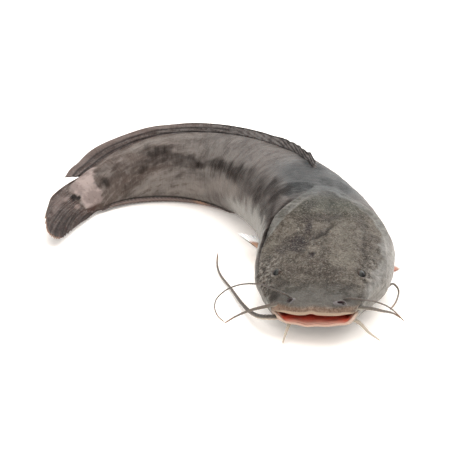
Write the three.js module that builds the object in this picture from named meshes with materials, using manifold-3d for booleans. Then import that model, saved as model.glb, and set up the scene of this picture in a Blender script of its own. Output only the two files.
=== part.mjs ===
// A whole raw catfish lying on its belly, its body bent to the right and its tail leaning over.
// Millimetres, +Z up. The fish is shaped straight first, in three local measures:
//   at      distance along the body, from the tip of the snout to the tail
//   x       distance from the midline towards the fish's left
//   z       height above the line of the belly
// and bent afterwards, by carrying every point along the path that the belly takes on the ground.
import * as THREE from "three";
import { mergeVertices } from "three/addons/utils/BufferGeometryUtils.js";
import Module from "manifold-3d";

const wasm = await Module();
wasm.setup();

// ---------------------------------------------------------------- driving dimensions
const TOTAL_LENGTH = 432; // tip of the snout to the end of the tail fin
const TAIL_BASE = 356; // tip of the snout to the base of the tail fin
const HEAD_WIDTH = 86; // across the gill covers
const SKULL_LENGTH = 122; // tip of the snout to the nape
const BODY_DEPTH = 61; // back to belly, where the back fin starts
const MOUTH_WIDTH = 50; // corner to corner
const MOUTH_SETBACK = 15.8; // from the tip of the snout back to the corners
const SINK = 0.8; // how far the soft belly is pressed flat on the ground
const FLOOR_GAP = 0.4; // a fin's underside stays this far above the ground
const SKIN_SIDES = 40; // points round a section of the body

// Where the snout lies, which way the head points and how the body turns to the fish's right.
const SNOUT = { x: 55.3, y: -142.35 };
const TURNS = [
  // [distance along the body, heading in degrees: 0 is +Y and 90 is -X]
  [0, -10.4],
  [60, -10],
  [80, -1],
  [100, 8],
  [120, 14.5],
  [145, 18],
  [170, 21],
  [200, 27],
  [230, 38],
  [260, 56],
  [290, 82],
  [320, 113],
  [350, 143],
  [380, 167],
  [420, 188],
];
// How far the body leans over on its left side, in degrees.
const ROLLS = [
  [0, -3],
  [60, -3],
  [90, 4],
  [120, 11],
  [170, 12],
  [220, 14],
  [300, 28],
  [350, 42],
  [385, 52],
  [420, 64],
];

// ---------------------------------------------------------------- curves
const DEGREE = Math.PI / 180;
const mix = (a, b, t) => a + (b - a) * t;

// A smooth curve through rows of [position, value, ...] that never swings past its own rows.
function curveThrough(rows) {
  const columns = rows[0].length - 1;
  const last = rows.length - 1;
  const slope = (i, c) => (rows[i + 1][c] - rows[i][c]) / (rows[i + 1][0] - rows[i][0]);
  const slopes = rows.map((row, i) =>
    Array.from({ length: columns }, (_, c) => {
      if (i === 0) return slope(0, c + 1);
      if (i === last) return slope(last - 1, c + 1);
      const before = slope(i - 1, c + 1);
      const after = slope(i, c + 1);
      return before * after > 0 ? (2 * before * after) / (before + after) : 0;
    }),
  );
  return (at) => {
    const held = THREE.MathUtils.clamp(at, rows[0][0], rows[last][0]);
    let i = 0;
    while (i < last - 1 && held > rows[i + 1][0]) i++;
    const span = rows[i + 1][0] - rows[i][0];
    const t = (held - rows[i][0]) / span;
    return slopes[i].map((start, c) => {
      const a = rows[i][c + 1] * (1 + 2 * t) * (1 - t) ** 2;
      const b = rows[i + 1][c + 1] * t * t * (3 - 2 * t);
      return a + b + start * span * t * (1 - t) ** 2 + slopes[i + 1][c] * span * t * t * (t - 1);
    });
  };
}

// ---------------------------------------------------------------- the skin of head and body
// Rings of skin, from the back of the mouth, round the lips and along the body to the tail. A row
// holds: the steps from this ring to the next; half the width; where the ring passes the side, the
// middle of the back and the middle of the belly, each as [at, z]; how square the upper and the
// lower half are, 2 being an ellipse; and how straight the ring runs across, seen from above.
const MOUTH = MOUTH_WIDTH / 2;
const HEAD = HEAD_WIDTH / 2;
const CORNER = MOUTH_SETBACK;
const NAPE = SKULL_LENGTH;
const BACK = BODY_DEPTH;
const RINGS = [
  // the inside of the mouth
  [1, 9, [42, 13.5], [41, 16.5], [41, 10], [2, 2], 2],
  [1, 18, [33, 14.5], [20, 18.5], [22, 8.5], [2.2, 2.4], 2.4],
  [1, MOUTH - 2.5, [CORNER + 5, 15.8], [7, 19.8], [9, 10], [2.5, 3], 3],
  // the lips
  [1, MOUTH - 0.8, [CORNER + 1.6, 16.3], [3.6, 19.1], [4.8, 12.7], [2.8, 3.4], 3.4],
  [1, MOUTH, [CORNER, 16.5], [2.3, 19.6], [3.2, 12.8], [2.8, 3.4], 3.6],
  [1, MOUTH + 0.6, [CORNER - 0.2, 16.8], [2, 21], [3.4, 11.6], [2.8, 3.2], 3.6],
  [1, MOUTH + 1.4, [CORNER + 0.2, 17], [3.2, 22.8], [6, 10.2], [2.8, 2.9], 3.5],
  // the head
  [1, MOUTH + 3, [CORNER + 1.6, 17.4], [6.2, 24.5], [13, 7.6], [2.7, 2.5], 3.3],
  [2, 31, [21.5, 18.4], [13, 27.2], [23, 3.6], [2.6, 2.2], 2.9],
  [3, 35.6, [32.5, 19.4], [27, 31.2], [36, 0.4], [2.5, 2.1], 2.4],
  [3, 39.4, [48, 20.2], [48, 36.2], [48, 0], [2.45, 2.2], 2],
  [3, 41.6, [64, 21], [75, 41.9], [59, 0], [2.35, 2.4], 1.8],
  [2, HEAD - 0.4, [77, 21.6], [104, 48], [69, 0], [2.25, 2.6], 1.6],
  // the edge of the gill covers and the fold behind it
  [1, HEAD, [82, 21.8], [NAPE, 51.6], [73, 0], [2.2, 2.6], 1.5],
  [1, HEAD - 1.4, [84, 21.9], [NAPE + 1, 51.7], [75, 0], [2.2, 2.6], 1.5],
  [3, HEAD - 0.4, [90, 22], [NAPE + 5, 53], [80, 0], [2.15, 2.6], 1.5],
  // the body
  [3, HEAD - 1.6, [112, 23], [138, 57], [104, 0], [2.1, 2.5], 1.6],
  [3, 38.5, [140, 26], [156, BACK], [138, 0], [2, 2.4], 2],
  [4, 35.5, [172, 28], [178, BACK + 0.5], [172, 0], [2, 2.3], 2],
  [5, 31.5, [205, 29], [205, BACK - 1], [205, 0], [2, 2.2], 2],
  [4, 24, [250, 28], [250, BACK - 2.2], [250, 0.4], [1.95, 1.85], 2],
  [3, 18.6, [295, 27], [295, 56.6], [295, 1.2], [1.85, 1.55], 2],
  [2, 14, [325, 24], [325, 48.2], [325, 2.4], [1.8, 1.5], 2],
  [2, 10.4, [345, 21], [345, 39.5], [345, 3.6], [1.85, 1.6], 2],
  [2, 7, [TAIL_BASE, 20], [TAIL_BASE, 36], [TAIL_BASE, 4.4], [2, 2], 2],
  [0, 1.8, [TAIL_BASE + 16, 19.5], [TAIL_BASE + 16, 34], [TAIL_BASE + 16, 5], [2, 2], 2],
];
const ringAt = curveThrough(RINGS.map(([, ...values], i) => [i, ...values.flat()]));

// A point of the skin, in local measures. ring counts along RINGS, angle goes round from the left.
function skinPoint(ring, angle) {
  const [half, sideAt, sideZ, backAt, backZ, bellyAt, bellyZ, over, under, straight] = ringAt(ring);
  const upper = Math.sin(angle) >= 0;
  const bulge = upper ? over : under;
  const cosine = Math.cos(angle);
  const sine = Math.abs(Math.sin(angle));
  const reach = (Math.abs(cosine) ** bulge + sine ** bulge) ** (-1 / bulge);
  const across = cosine * reach;
  return {
    at: mix(upper ? backAt : bellyAt, sideAt, Math.abs(across) ** straight),
    x: half * across,
    z: mix(sideZ, upper ? backZ : bellyZ, sine * reach),
  };
}

// Which ring's side lies at a distance along the body, behind the front of the head.
const FIRST_BODY_RING = 9;
function ringOfSide(at) {
  let low = FIRST_BODY_RING;
  let high = RINGS.length - 1;
  for (let i = 0; i < 30; i++) {
    const middle = (low + high) / 2;
    if (ringAt(middle)[1] < at) low = middle;
    else high = middle;
  }
  return low;
}
const backZ = (at) => ringAt(ringOfSide(at))[4];

// ---------------------------------------------------------------- bending
const heading = curveThrough(TURNS);
const roll = curveThrough(ROLLS);
const PATH_STEP = 1;
const PATH_END = TOTAL_LENGTH + 20;
const path = [new THREE.Vector2(SNOUT.x, SNOUT.y)];
for (let at = PATH_STEP / 2; at < PATH_END; at += PATH_STEP) {
  const turn = heading(at)[0] * DEGREE;
  const end = path.at(-1);
  path.push(new THREE.Vector2(end.x - Math.sin(turn) * PATH_STEP, end.y + Math.cos(turn) * PATH_STEP));
}

// Where the belly line is at a distance along the body, and the fish's left and up directions there.
function frameAt(at) {
  const turn = heading(at)[0] * DEGREE;
  const lean = roll(at)[0] * DEGREE;
  const along = new THREE.Vector3(-Math.sin(turn), Math.cos(turn), 0);
  const side = new THREE.Vector3(Math.cos(turn), Math.sin(turn), 0);
  const i = THREE.MathUtils.clamp(Math.floor(at / PATH_STEP), 0, path.length - 1);
  return {
    base: new THREE.Vector3(path[i].x, path[i].y, 0).addScaledVector(along, at - i * PATH_STEP),
    left: side.clone().multiplyScalar(Math.cos(lean)).setZ(-Math.sin(lean)),
    up: side.clone().multiplyScalar(Math.sin(lean)).setZ(Math.cos(lean)),
  };
}

// How far the belly line has to be lifted for the leaning body to rest on the ground.
const LIFT_STEP = 4;
const LIFT_SIDES = 72;
const lifts = [];
for (let at = 0; at <= PATH_END; at += LIFT_STEP) {
  const { left, up } = frameAt(at);
  const ring = ringOfSide(at);
  let lowest = 0;
  for (let i = 0; i < LIFT_SIDES; i++) {
    const point = skinPoint(ring, (i / LIFT_SIDES) * 2 * Math.PI);
    lowest = Math.min(lowest, point.x * left.z + point.z * up.z);
  }
  lifts.push([at, -lowest - SINK]);
}
const lift = curveThrough(lifts);

// Carries a point in local measures to where it lies, never below the ground.
function bend(at, x, z) {
  const { base, left, up } = frameAt(at);
  const point = base.addScaledVector(left, x).addScaledVector(up, z);
  point.z = Math.max(0, point.z + lift(at)[0]);
  return point;
}

// ---------------------------------------------------------------- closed surfaces
// A closed surface through rings of points, each end shut by a fan to its middle.
function loft(rings) {
  const sides = rings[0].length;
  const points = rings.flat();
  const middle = (ring) =>
    ring.reduce((sum, point) => sum.add(point), new THREE.Vector3()).divideScalar(sides);
  const first = points.push(middle(rings[0])) - 1;
  const last = points.push(middle(rings.at(-1))) - 1;
  const end = (rings.length - 1) * sides;
  const faces = [];
  for (let j = 0; j < sides; j++) {
    const k = (j + 1) % sides;
    faces.push(first, k, j, end + j, end + k, last);
    for (let a = 0; a < end; a += sides) {
      const b = a + sides;
      faces.push(a + j, a + k, b + k, a + j, b + k, b + j);
    }
  }
  const geometry = new THREE.BufferGeometry().setFromPoints(points);
  geometry.setIndex(faces);
  return geometry;
}

function solidOf(geometry) {
  const bare = geometry.clone();
  bare.deleteAttribute("normal");
  bare.deleteAttribute("uv");
  const merged = mergeVertices(bare, 1e-4);
  const solid = new wasm.Manifold(
    new wasm.Mesh({
      numProp: 3,
      vertProperties: merged.attributes.position.array,
      triVerts: new Uint32Array(merged.index.array),
    }),
  );
  if (solid.volume() > 0) return solid;
  const faces = merged.index.array;
  for (let i = 0; i < faces.length; i += 3) [faces[i + 1], faces[i + 2]] = [faces[i + 2], faces[i + 1]];
  return solidOf(merged);
}

function geometryOf(solid) {
  const mesh = solid.getMesh();
  const geometry = new THREE.BufferGeometry();
  geometry.setAttribute("position", new THREE.BufferAttribute(mesh.vertProperties, 3));
  geometry.setIndex(new THREE.BufferAttribute(mesh.triVerts, 1));
  geometry.computeVertexNormals();
  return geometry;
}

// ---------------------------------------------------------------- head and body
function skin() {
  const rings = [];
  RINGS.forEach(([steps], key) => {
    const count = Math.max(1, steps);
    for (let i = 0; i < count; i++) {
      const ring = [];
      for (let j = 0; j < SKIN_SIDES; j++) {
        const point = skinPoint(key + i / count, (j / SKIN_SIDES) * 2 * Math.PI);
        ring.push(bend(point.at, point.x, point.z));
      }
      rings.push(ring);
    }
  });
  return loft(rings);
}

// The small eyes sit low on the sides of the skull and stand a little proud of it.
const EYE = { at: 35.6, x: 24, z: 28.5, radius: 3.4 };
function eye(side) {
  const ball = new THREE.SphereGeometry(EYE.radius, 14, 9);
  const centre = bend(EYE.at, side * EYE.x, EYE.z);
  return ball.translate(centre.x, centre.y, centre.z);
}

// ---------------------------------------------------------------- fins
// A fin: a thin sheet from its root (v = 0) to its edge (v = 1), along its length u. point gives
// local measures, thickness how thick it is there, and its two faces stand apart along axis.
function fin({ columns, rows, point, thickness, axis = "x" }) {
  const face = (u, v, offset) => {
    const local = point(u, v);
    local[axis] += offset;
    const bent = bend(local.at, local.x, local.z);
    bent.z = Math.max(bent.z, FLOOR_GAP + thickness(u, v) / 2 + offset);
    return bent;
  };
  const rings = [];
  for (let i = 0; i <= columns; i++) {
    const u = i / columns;
    const ring = [];
    for (let j = 0; j <= rows; j++) ring.push(face(u, j / rows, thickness(u, j / rows) / 2));
    for (let j = rows; j >= 0; j--) ring.push(face(u, j / rows, -thickness(u, j / rows) / 2));
    rings.push(ring);
  }
  return loft(rings);
}

// The long back fin lies half folded and wavy. Its rays lean back, at the rear so far that the fin
// ends in a free point behind its root.
const BACK_FIN = { root: 2.5, lean: 0.15, waves: 9, wave: 0.6 };
const BACK_FIN_RAYS = [
  // [where its root is along the body, how high it rises, how far it leans back for each mm of that]
  [146, 1.5, 1.1],
  [156, 4.5, 1.1],
  [190, 5.5, 1.1],
  [210, 5, 1.1],
  [245, 6.2, 1.1],
  [275, 7, 1.1],
  [297, 6, 1.1],
  [317, 6.2, 1.1],
  [330, 7, 1.1],
  [342, 6.5, 1.1],
  [347, 6, 1.6],
  [350, 4.8, 2.3],
  [352, 3.6, 3.3],
];
function backFin() {
  const { root, lean, waves, wave } = BACK_FIN;
  const ray = curveThrough(BACK_FIN_RAYS);
  return fin({
    columns: 48,
    rows: 3,
    point: (u, v) => {
      const base = mix(BACK_FIN_RAYS[0][0], BACK_FIN_RAYS.at(-1)[0], u);
      const [rise, slant] = ray(base);
      return {
        at: base + slant * rise * v,
        x: wave * v * Math.sin(u * waves * 2 * Math.PI) + lean * rise * v * v,
        z: backZ(base) - root + (rise + root) * v,
      };
    },
    thickness: (u, v) => mix(3.2, 0.9, v),
  });
}

// The belly fin is rooted along the lower edge behind the vent and lies folded up against the right
// side. spread is how far round the section it reaches, in degrees, and tuck how much of that is
// root, on the other side of the lowest line. It starts sunk in the body and ends proud of it.
const BELLY_FIN = { from: 228, to: 352, spread: 20, tuck: 8, slant: 5, sunk: 1.2, proud: 0.3 };
function bellyFin() {
  const { from, to, spread, tuck, slant, sunk, proud } = BELLY_FIN;
  return fin({
    columns: 34,
    rows: 3,
    point: (u, v) => {
      const at = mix(from, to, u) + slant * v;
      const open = Math.min(1, 6 * u + 0.3) * Math.min(1, 8 * (1 - u) + 0.4);
      const ring = ringOfSide(at);
      const skinThere = skinPoint(ring, (tuck - 90 - (spread + tuck) * open * v) * DEGREE);
      const sideZ = ringAt(ring)[2];
      const out = new THREE.Vector2(skinThere.x, skinThere.z - sideZ);
      out.setLength(out.length() + mix(-sunk, proud, v));
      return { at, x: out.x, z: out.y + sideZ };
    },
    thickness: (u, v) => mix(2.4, 1, v),
    axis: "z",
  });
}

// The tail fin is a rounded paddle with its tip low.
const TAIL_FIN = { root: TAIL_BASE - 4, waves: 9, wave: 0.5 };
const TAIL_FIN_RAYS = [
  // [-1 for the lowest ray to 1 for the highest, height of its root, where it ends: at, z]
  [-1, 6, TOTAL_LENGTH - 52, 4.3],
  [-0.6, 10.5, TOTAL_LENGTH - 26, 8.4],
  [-0.3, 14.5, TOTAL_LENGTH - 8, 13.9],
  [-0.05, 18.5, TOTAL_LENGTH, 18.8],
  [0.25, 22.5, TOTAL_LENGTH - 7, 23],
  [0.5, 26, TOTAL_LENGTH - 17, 27],
  [0.75, 29.5, TOTAL_LENGTH - 31, 30.2],
  [1, 33.5, TOTAL_LENGTH - 52, 32.6],
];
function tailFin() {
  const { root, waves, wave } = TAIL_FIN;
  const ray = curveThrough(TAIL_FIN_RAYS);
  return fin({
    columns: 20,
    rows: 7,
    point: (u, v) => {
      const side = 2 * u - 1;
      const [rootZ, endAt, endZ] = ray(side);
      return {
        at: mix(root, endAt, v),
        x: wave * v * Math.sin(waves * side),
        z: mix(rootZ, endZ, v),
      };
    },
    thickness: (u, v) => mix(4.4, 0.8, Math.min(1, 1.6 * v)) * mix(1, 0.7, Math.abs(2 * u - 1)),
  });
}

// A chest fin: a stout spine along its front edge, which bows forwards a little, and a soft fan
// behind it, lying flat. sweep is the angle of the spine from straight back, in degrees. The right
// one is laid back along the side, and most of the left one is pressed under the body.
const CHEST_FIN = { at: 96, x: 30, z: 7, width: 9, fan: 20, drop: 2.5, bow: 2 };
const CHEST_FIN_POSES = [
  { side: -1, sweep: 9.4, length: 63.5 },
  { side: 1, sweep: 73.5, length: 28.5 },
];
function chestFin({ side, sweep, length }) {
  const { at, x, z, width, fan, drop, bow } = CHEST_FIN;
  return fin({
    columns: 8,
    rows: 5,
    point: (u, v) => {
      const angle = (sweep - fan * u) * DEGREE;
      const reach = length * (1 - 0.3 * u ** 1.5) * v;
      const swell = bow * Math.sin(Math.PI * v) * (1 - u);
      return {
        at: at + width * u + Math.cos(angle) * reach - Math.sin(angle) * swell,
        x: side * (x + Math.sin(angle) * reach + Math.cos(angle) * swell),
        z: z - drop * v,
      };
    },
    thickness: (u, v) => mix(4, 1, v) * mix(1, 0.5, Math.min(1, 3 * u)),
    axis: "z",
  });
}

// A pelvic fin, a small paddle folded flat under the belly.
const PELVIC_FIN = { at: 184, x: 5, z: 3, length: 22, rootHalf: 2.5, half: 6 };
function pelvicFin({ side }) {
  const { at, x, z, length, rootHalf, half } = PELVIC_FIN;
  return fin({
    columns: 6,
    rows: 3,
    point: (u, v) => ({
      at: at + v * length * (1 - 0.3 * (2 * u - 1) ** 2),
      x: side * (x + (2 * u - 1) * mix(rootHalf, half, v) + 3 * v),
      z: z - 2 * v,
    }),
    thickness: (u, v) => mix(3, 0.9, v),
    axis: "z",
  });
}

// ---------------------------------------------------------------- barbels
// The eight feelers round the mouth, each a tapering thread. root and tip are radii. The route
// lists points from the root on, as [x, y, z] from the spot on the ground below the snout.
const BARBEL_SIDES = 6;
const BARBEL_STEP = 5.5;
const BARBELS = [
  {
    // from the right corner of the upper lip
    root: 2.4,
    tip: 0.5,
    route: [[-7, 16, 20], [-16, 14, 20.5], [-24, 15, 18.5], [-34, 19, 14], [-43, 25, 7], [-49, 27, 2]],
  },
  {
    // from the left corner of the upper lip
    root: 2.2,
    tip: 0.5,
    route: [[13, 13, 20], [21, 11, 19.5], [31, 15, 17], [40, 22, 12], [48, 29, 7], [53, 31, 3]],
  },
  {
    // from the right nostril, over the cheek and round to the front
    root: 1,
    tip: 0.4,
    route: [
      [-11, 13, 23], [-15, 13, 26], [-21, 17, 27], [-28, 27, 26], [-32, 35, 23], [-37, 44, 19],
      [-43, 50, 15], [-49, 52, 11], [-54, 49, 7], [-55, 44, 4], [-53, 36, 2], [-49, 30, 1],
    ],
  },
  {
    // from the left nostril
    root: 1,
    tip: 0.4,
    route: [
      [13, 10, 23], [18, 8, 26], [26, 9, 25], [35, 17, 20], [44, 25, 13], [49, 28, 8], [54, 27, 3],
    ],
  },
  {
    // the outer one below the right corner of the mouth, the longest
    root: 2.2,
    tip: 0.5,
    route: [
      [-13, 25, 9], [-17, 18, 10.5], [-23, 17, 10.5], [-29, 23, 8], [-34, 35, 5], [-39, 52, 3],
      [-45, 75, 2], [-52, 100, 1.2], [-54, 115, 1.2], [-54, 137, 1],
    ],
  },
  {
    // the outer one on the left, which comes out beside the cheek and loops back
    root: 2,
    tip: 0.5,
    route: [
      [29, 33, 9], [35, 39, 8.5], [41, 48, 8], [49, 61, 9], [54, 67, 9], [57, 66, 6], [54, 54, 3.5],
      [49, 45, 2],
    ],
  },
  {
    // the inner one on the right, under the lower lip
    root: 2.3,
    tip: 0.4,
    route: [[-11, 23, 8], [-12.5, 16, 8], [-14, 12, 6.5], [-15.5, 9, 3.5], [-17, 4, 1]],
  },
  {
    // the inner one on the left
    root: 2.1,
    tip: 0.4,
    route: [[19, 23, 8], [23, 19, 8.5], [27.5, 16, 6.5], [31.5, 12.5, 3.2], [37, 7, 1]],
  },
];
function barbel({ root, tip, route }) {
  const points = route.map(([x, y, z]) => new THREE.Vector3(SNOUT.x + x, SNOUT.y + y, z));
  const curve = new THREE.CatmullRomCurve3(points, false, "centripetal");
  const steps = Math.ceil(curve.getLength() / BARBEL_STEP);
  const rings = [];
  for (let i = 0; i <= steps; i++) {
    const centre = curve.getPointAt(i / steps);
    const tangent = curve.getTangentAt(i / steps);
    const across = new THREE.Vector3().crossVectors(tangent, new THREE.Vector3(0, 0, 1)).normalize();
    const over = new THREE.Vector3().crossVectors(across, tangent);
    const radius = mix(root, tip, (i / steps) ** 0.6);
    const ring = [];
    for (let j = 0; j < BARBEL_SIDES; j++) {
      const angle = (j / BARBEL_SIDES) * 2 * Math.PI;
      const spoke = across.clone().multiplyScalar(radius * Math.cos(angle));
      ring.push(spoke.addScaledVector(over, radius * Math.sin(angle)).add(centre));
    }
    rings.push(ring);
  }
  return loft(rings);
}

// ---------------------------------------------------------------- assembly
const flesh = [skin(), eye(1), eye(-1), backFin(), bellyFin(), tailFin()];
for (const pose of CHEST_FIN_POSES) flesh.push(chestFin(pose), pelvicFin(pose));
for (const feeler of BARBELS) flesh.push(barbel(feeler));
const body = flesh.map(solidOf).reduce((whole, piece) => whole.add(piece));

const material = new THREE.MeshStandardMaterial({ color: 0x5f5b55, roughness: 0.45, metalness: 0 });
const mesh = new THREE.Mesh(geometryOf(body), material);
mesh.name = "fish_body";
const fish = new THREE.Group();
fish.add(mesh);

export default fish;
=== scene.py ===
import bpy
import numpy as np
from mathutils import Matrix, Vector, noise


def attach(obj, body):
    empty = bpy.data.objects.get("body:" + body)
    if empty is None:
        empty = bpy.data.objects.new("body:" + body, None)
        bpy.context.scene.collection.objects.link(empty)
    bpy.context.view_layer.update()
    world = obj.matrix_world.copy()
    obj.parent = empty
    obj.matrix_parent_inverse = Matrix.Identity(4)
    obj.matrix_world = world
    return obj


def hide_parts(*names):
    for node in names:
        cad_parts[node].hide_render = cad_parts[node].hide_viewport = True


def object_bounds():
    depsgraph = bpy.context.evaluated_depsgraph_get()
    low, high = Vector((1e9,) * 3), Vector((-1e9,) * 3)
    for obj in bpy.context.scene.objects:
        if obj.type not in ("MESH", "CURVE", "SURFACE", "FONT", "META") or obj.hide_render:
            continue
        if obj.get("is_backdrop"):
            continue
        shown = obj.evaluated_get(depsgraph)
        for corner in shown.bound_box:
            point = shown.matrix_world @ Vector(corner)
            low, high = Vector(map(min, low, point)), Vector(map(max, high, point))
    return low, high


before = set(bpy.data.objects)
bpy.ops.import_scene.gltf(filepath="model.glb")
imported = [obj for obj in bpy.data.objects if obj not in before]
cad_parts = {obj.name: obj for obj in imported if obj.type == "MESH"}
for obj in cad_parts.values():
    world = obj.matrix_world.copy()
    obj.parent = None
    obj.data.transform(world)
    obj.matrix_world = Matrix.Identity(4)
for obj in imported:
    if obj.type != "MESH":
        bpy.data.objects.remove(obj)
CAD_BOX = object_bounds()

# The looks of a whole raw catfish. As in the part's source, the fish is shaped straight first, in
# millimetres, in three local measures, and bent afterwards:
#   at      distance along the body, from the tip of the snout to the tail
#   x       distance from the midline towards the fish's left
#   z       height above the line of the belly

# ---- driving dimensions, as in the part
TOTAL_LENGTH = 432
TAIL_BASE = 356
HEAD_WIDTH = 86
SKULL_LENGTH = 122
BODY_DEPTH = 61
MOUTH_WIDTH = 50
MOUTH_SETBACK = 15.8
SINK = 0.8  # how far the belly is pressed flat on the ground
FLOOR_GAP = 0.4  # the least height of a fin above the ground
# The spot on the ground below the snout, and the heading along the body and its lean, in degrees, as
# (at, angle).
SNOUT = (55.3, -142.35)
TURNS = [
    (0, -10.4), (60, -10), (80, -1), (100, 8), (120, 14.5), (145, 18), (170, 21), (200, 27),
    (230, 38), (260, 56), (290, 82), (320, 113), (350, 143), (380, 167), (420, 188),
]
ROLLS = [
    (0, -3), (60, -3), (90, 4), (120, 11), (170, 12), (220, 14), (300, 28), (350, 42), (385, 52),
    (420, 64),
]
MM = 0.001
CIRCLE = 2 * np.pi


# ---- curves
def mix(a, b, t):
    """From a at t = 0 to b at t = 1."""
    return a + (b - a) * t


def curve_through(rows):
    """A smooth curve through rows of (position, value, ...) that never swings past its own rows."""
    rows = np.array(rows, float)
    place, values = rows[:, 0], rows[:, 1:]
    span = np.diff(place)
    secants = np.diff(values, axis=0) / span[:, None]
    before, after = secants[:-1], secants[1:]
    same = before * after > 0
    middle = np.where(same, 2 * before * after / np.where(same, before + after, 1), 0)
    slopes = np.vstack([secants[:1], middle, secants[-1:]])

    def value(at):
        held = np.clip(np.asarray(at, float), place[0], place[-1])
        i = np.clip(np.searchsorted(place, held) - 1, 0, len(place) - 2)
        t = ((held - place[i]) / span[i])[..., None]
        run = span[i][..., None]
        level = values[i] * (1 + 2 * t) * (1 - t) ** 2 + values[i + 1] * t * t * (3 - 2 * t)
        return level + slopes[i] * run * t * (1 - t) ** 2 + slopes[i + 1] * run * t * t * (t - 1)

    return value


def bell(d):
    """A soft bump, 1 at 0 and next to nothing past 2."""
    return np.exp(-np.square(d))


def ramp(low, high, value):
    """0 below low, 1 above high, smooth between; low may be the larger one."""
    t = np.clip((value - low) / (high - low), 0, 1)
    return t * t * (3 - 2 * t)


def stretch(value, start, full, fade, end):
    """1 from full to fade, 0 before start and after end, smooth between."""
    return ramp(start, full, value) * ramp(end, fade, value)


def along_line(value, rows):
    """The second number of rows of (position, number) at a position, in straight steps between."""
    return np.interp(value, *np.transpose(rows))


def round_angles(count):
    """So many angles spread evenly over a full circle."""
    return np.arange(count) / count * CIRCLE


def unit(vectors):
    """Vectors of length 1 in the same directions."""
    return vectors / np.maximum(np.linalg.norm(vectors, axis=-1, keepdims=True), 1e-9)


def cross_axes(direction, aid):
    """Two unit vectors square to a unit direction and to each other, the first also square to aid."""
    across = unit(np.cross(direction, aid))
    return across, np.cross(across, direction)


# ---- the skin of head and body
# Rings of skin, from the back of the mouth to the tail, as in the part: half the width; where the
# ring passes the side, the back and the belly, each as (at, z); how square the upper and lower
# halves are; and how straight the ring runs across.
MOUTH = MOUTH_WIDTH / 2
HEAD = HEAD_WIDTH / 2
CORNER = MOUTH_SETBACK
NAPE = SKULL_LENGTH
BACK = BODY_DEPTH
RINGS = [
    # the inside of the mouth
    (9, (42, 13.5), (41, 16.5), (41, 10), (2, 2), 2),
    (18, (33, 14.5), (20, 18.5), (22, 8.5), (2.2, 2.4), 2.4),
    (MOUTH - 2.5, (CORNER + 5, 15.8), (7, 19.8), (9, 10), (2.5, 3), 3),
    # the lips
    (MOUTH - 0.8, (CORNER + 1.6, 16.3), (3.6, 19.1), (4.8, 12.7), (2.8, 3.4), 3.4),
    (MOUTH, (CORNER, 16.5), (2.3, 19.6), (3.2, 12.8), (2.8, 3.4), 3.6),
    (MOUTH + 0.6, (CORNER - 0.2, 16.8), (2, 21), (3.4, 11.6), (2.8, 3.2), 3.6),
    (MOUTH + 1.4, (CORNER + 0.2, 17), (3.2, 22.8), (6, 10.2), (2.8, 2.9), 3.5),
    # the head
    (MOUTH + 3, (CORNER + 1.6, 17.4), (6.2, 24.5), (13, 7.6), (2.7, 2.5), 3.3),
    (31, (21.5, 18.4), (13, 27.2), (23, 3.6), (2.6, 2.2), 2.9),
    (35.6, (32.5, 19.4), (27, 31.2), (36, 0.4), (2.5, 2.1), 2.4),
    (39.4, (48, 20.2), (48, 36.2), (48, 0), (2.45, 2.2), 2),
    (41.6, (64, 21), (75, 41.9), (59, 0), (2.35, 2.4), 1.8),
    (HEAD - 0.4, (77, 21.6), (104, 48), (69, 0), (2.25, 2.6), 1.6),
    # the edge of the gill covers and the fold behind it
    (HEAD, (82, 21.8), (NAPE, 51.6), (73, 0), (2.2, 2.6), 1.5),
    (HEAD - 1.4, (84, 21.9), (NAPE + 1, 51.7), (75, 0), (2.2, 2.6), 1.5),
    (HEAD - 0.4, (90, 22), (NAPE + 5, 53), (80, 0), (2.15, 2.6), 1.5),
    # the body
    (HEAD - 1.6, (112, 23), (138, 57), (104, 0), (2.1, 2.5), 1.6),
    (38.5, (140, 26), (156, BACK), (138, 0), (2, 2.4), 2),
    (35.5, (172, 28), (178, BACK + 0.5), (172, 0), (2, 2.3), 2),
    (31.5, (205, 29), (205, BACK - 1), (205, 0), (2, 2.2), 2),
    (24, (250, 28), (250, BACK - 2.2), (250, 0.4), (1.95, 1.85), 2),
    (18.6, (295, 27), (295, 56.6), (295, 1.2), (1.85, 1.55), 2),
    (14, (325, 24), (325, 48.2), (325, 2.4), (1.8, 1.5), 2),
    (10.4, (345, 21), (345, 39.5), (345, 3.6), (1.85, 1.6), 2),
    (7, (TAIL_BASE, 20), (TAIL_BASE, 36), (TAIL_BASE, 4.4), (2, 2), 2),
    (0.5, (TAIL_BASE + 18, 19.5), (TAIL_BASE + 18, 31), (TAIL_BASE + 18, 8), (2, 2), 2),
]
FIRST_BODY_RING = 9  # behind the front of the head
LAST_RING = len(RINGS) - 1
RING_AT = curve_through(
    [(i, half, *side, *back, *belly, *bulges, straight)
     for i, (half, side, back, belly, bulges, straight) in enumerate(RINGS)]
)


def skin_point(ring, angle):
    """A point of the smooth skin, in local measures. angle goes round from the fish's left side."""
    ring, angle = np.broadcast_arrays(np.asarray(ring, float), np.asarray(angle, float))
    row = np.moveaxis(RING_AT(ring), -1, 0)
    half, side_at, side_z, back_at, back_z, belly_at, belly_z, over, under, straight = row
    upper = np.sin(angle) >= 0
    bulge = np.where(upper, over, under)
    cosine, sine = np.cos(angle), abs(np.sin(angle))
    reach = (abs(cosine) ** bulge + sine ** bulge) ** (-1 / bulge)
    across = cosine * reach
    at = mix(np.where(upper, back_at, belly_at), side_at, abs(across) ** straight)
    return at, half * across, mix(side_z, np.where(upper, back_z, belly_z), sine * reach)


RING_TABLE = np.linspace(FIRST_BODY_RING, LAST_RING, 2000)
SIDE_TABLE = RING_AT(RING_TABLE)[:, 1]


def ring_of_side(at):
    """Which ring's side lies at a distance along the body, behind the front of the head."""
    return np.interp(at, SIDE_TABLE, RING_TABLE)


def back_z(at):
    """The height of the middle of the back."""
    return RING_AT(ring_of_side(at))[..., 4]


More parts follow.
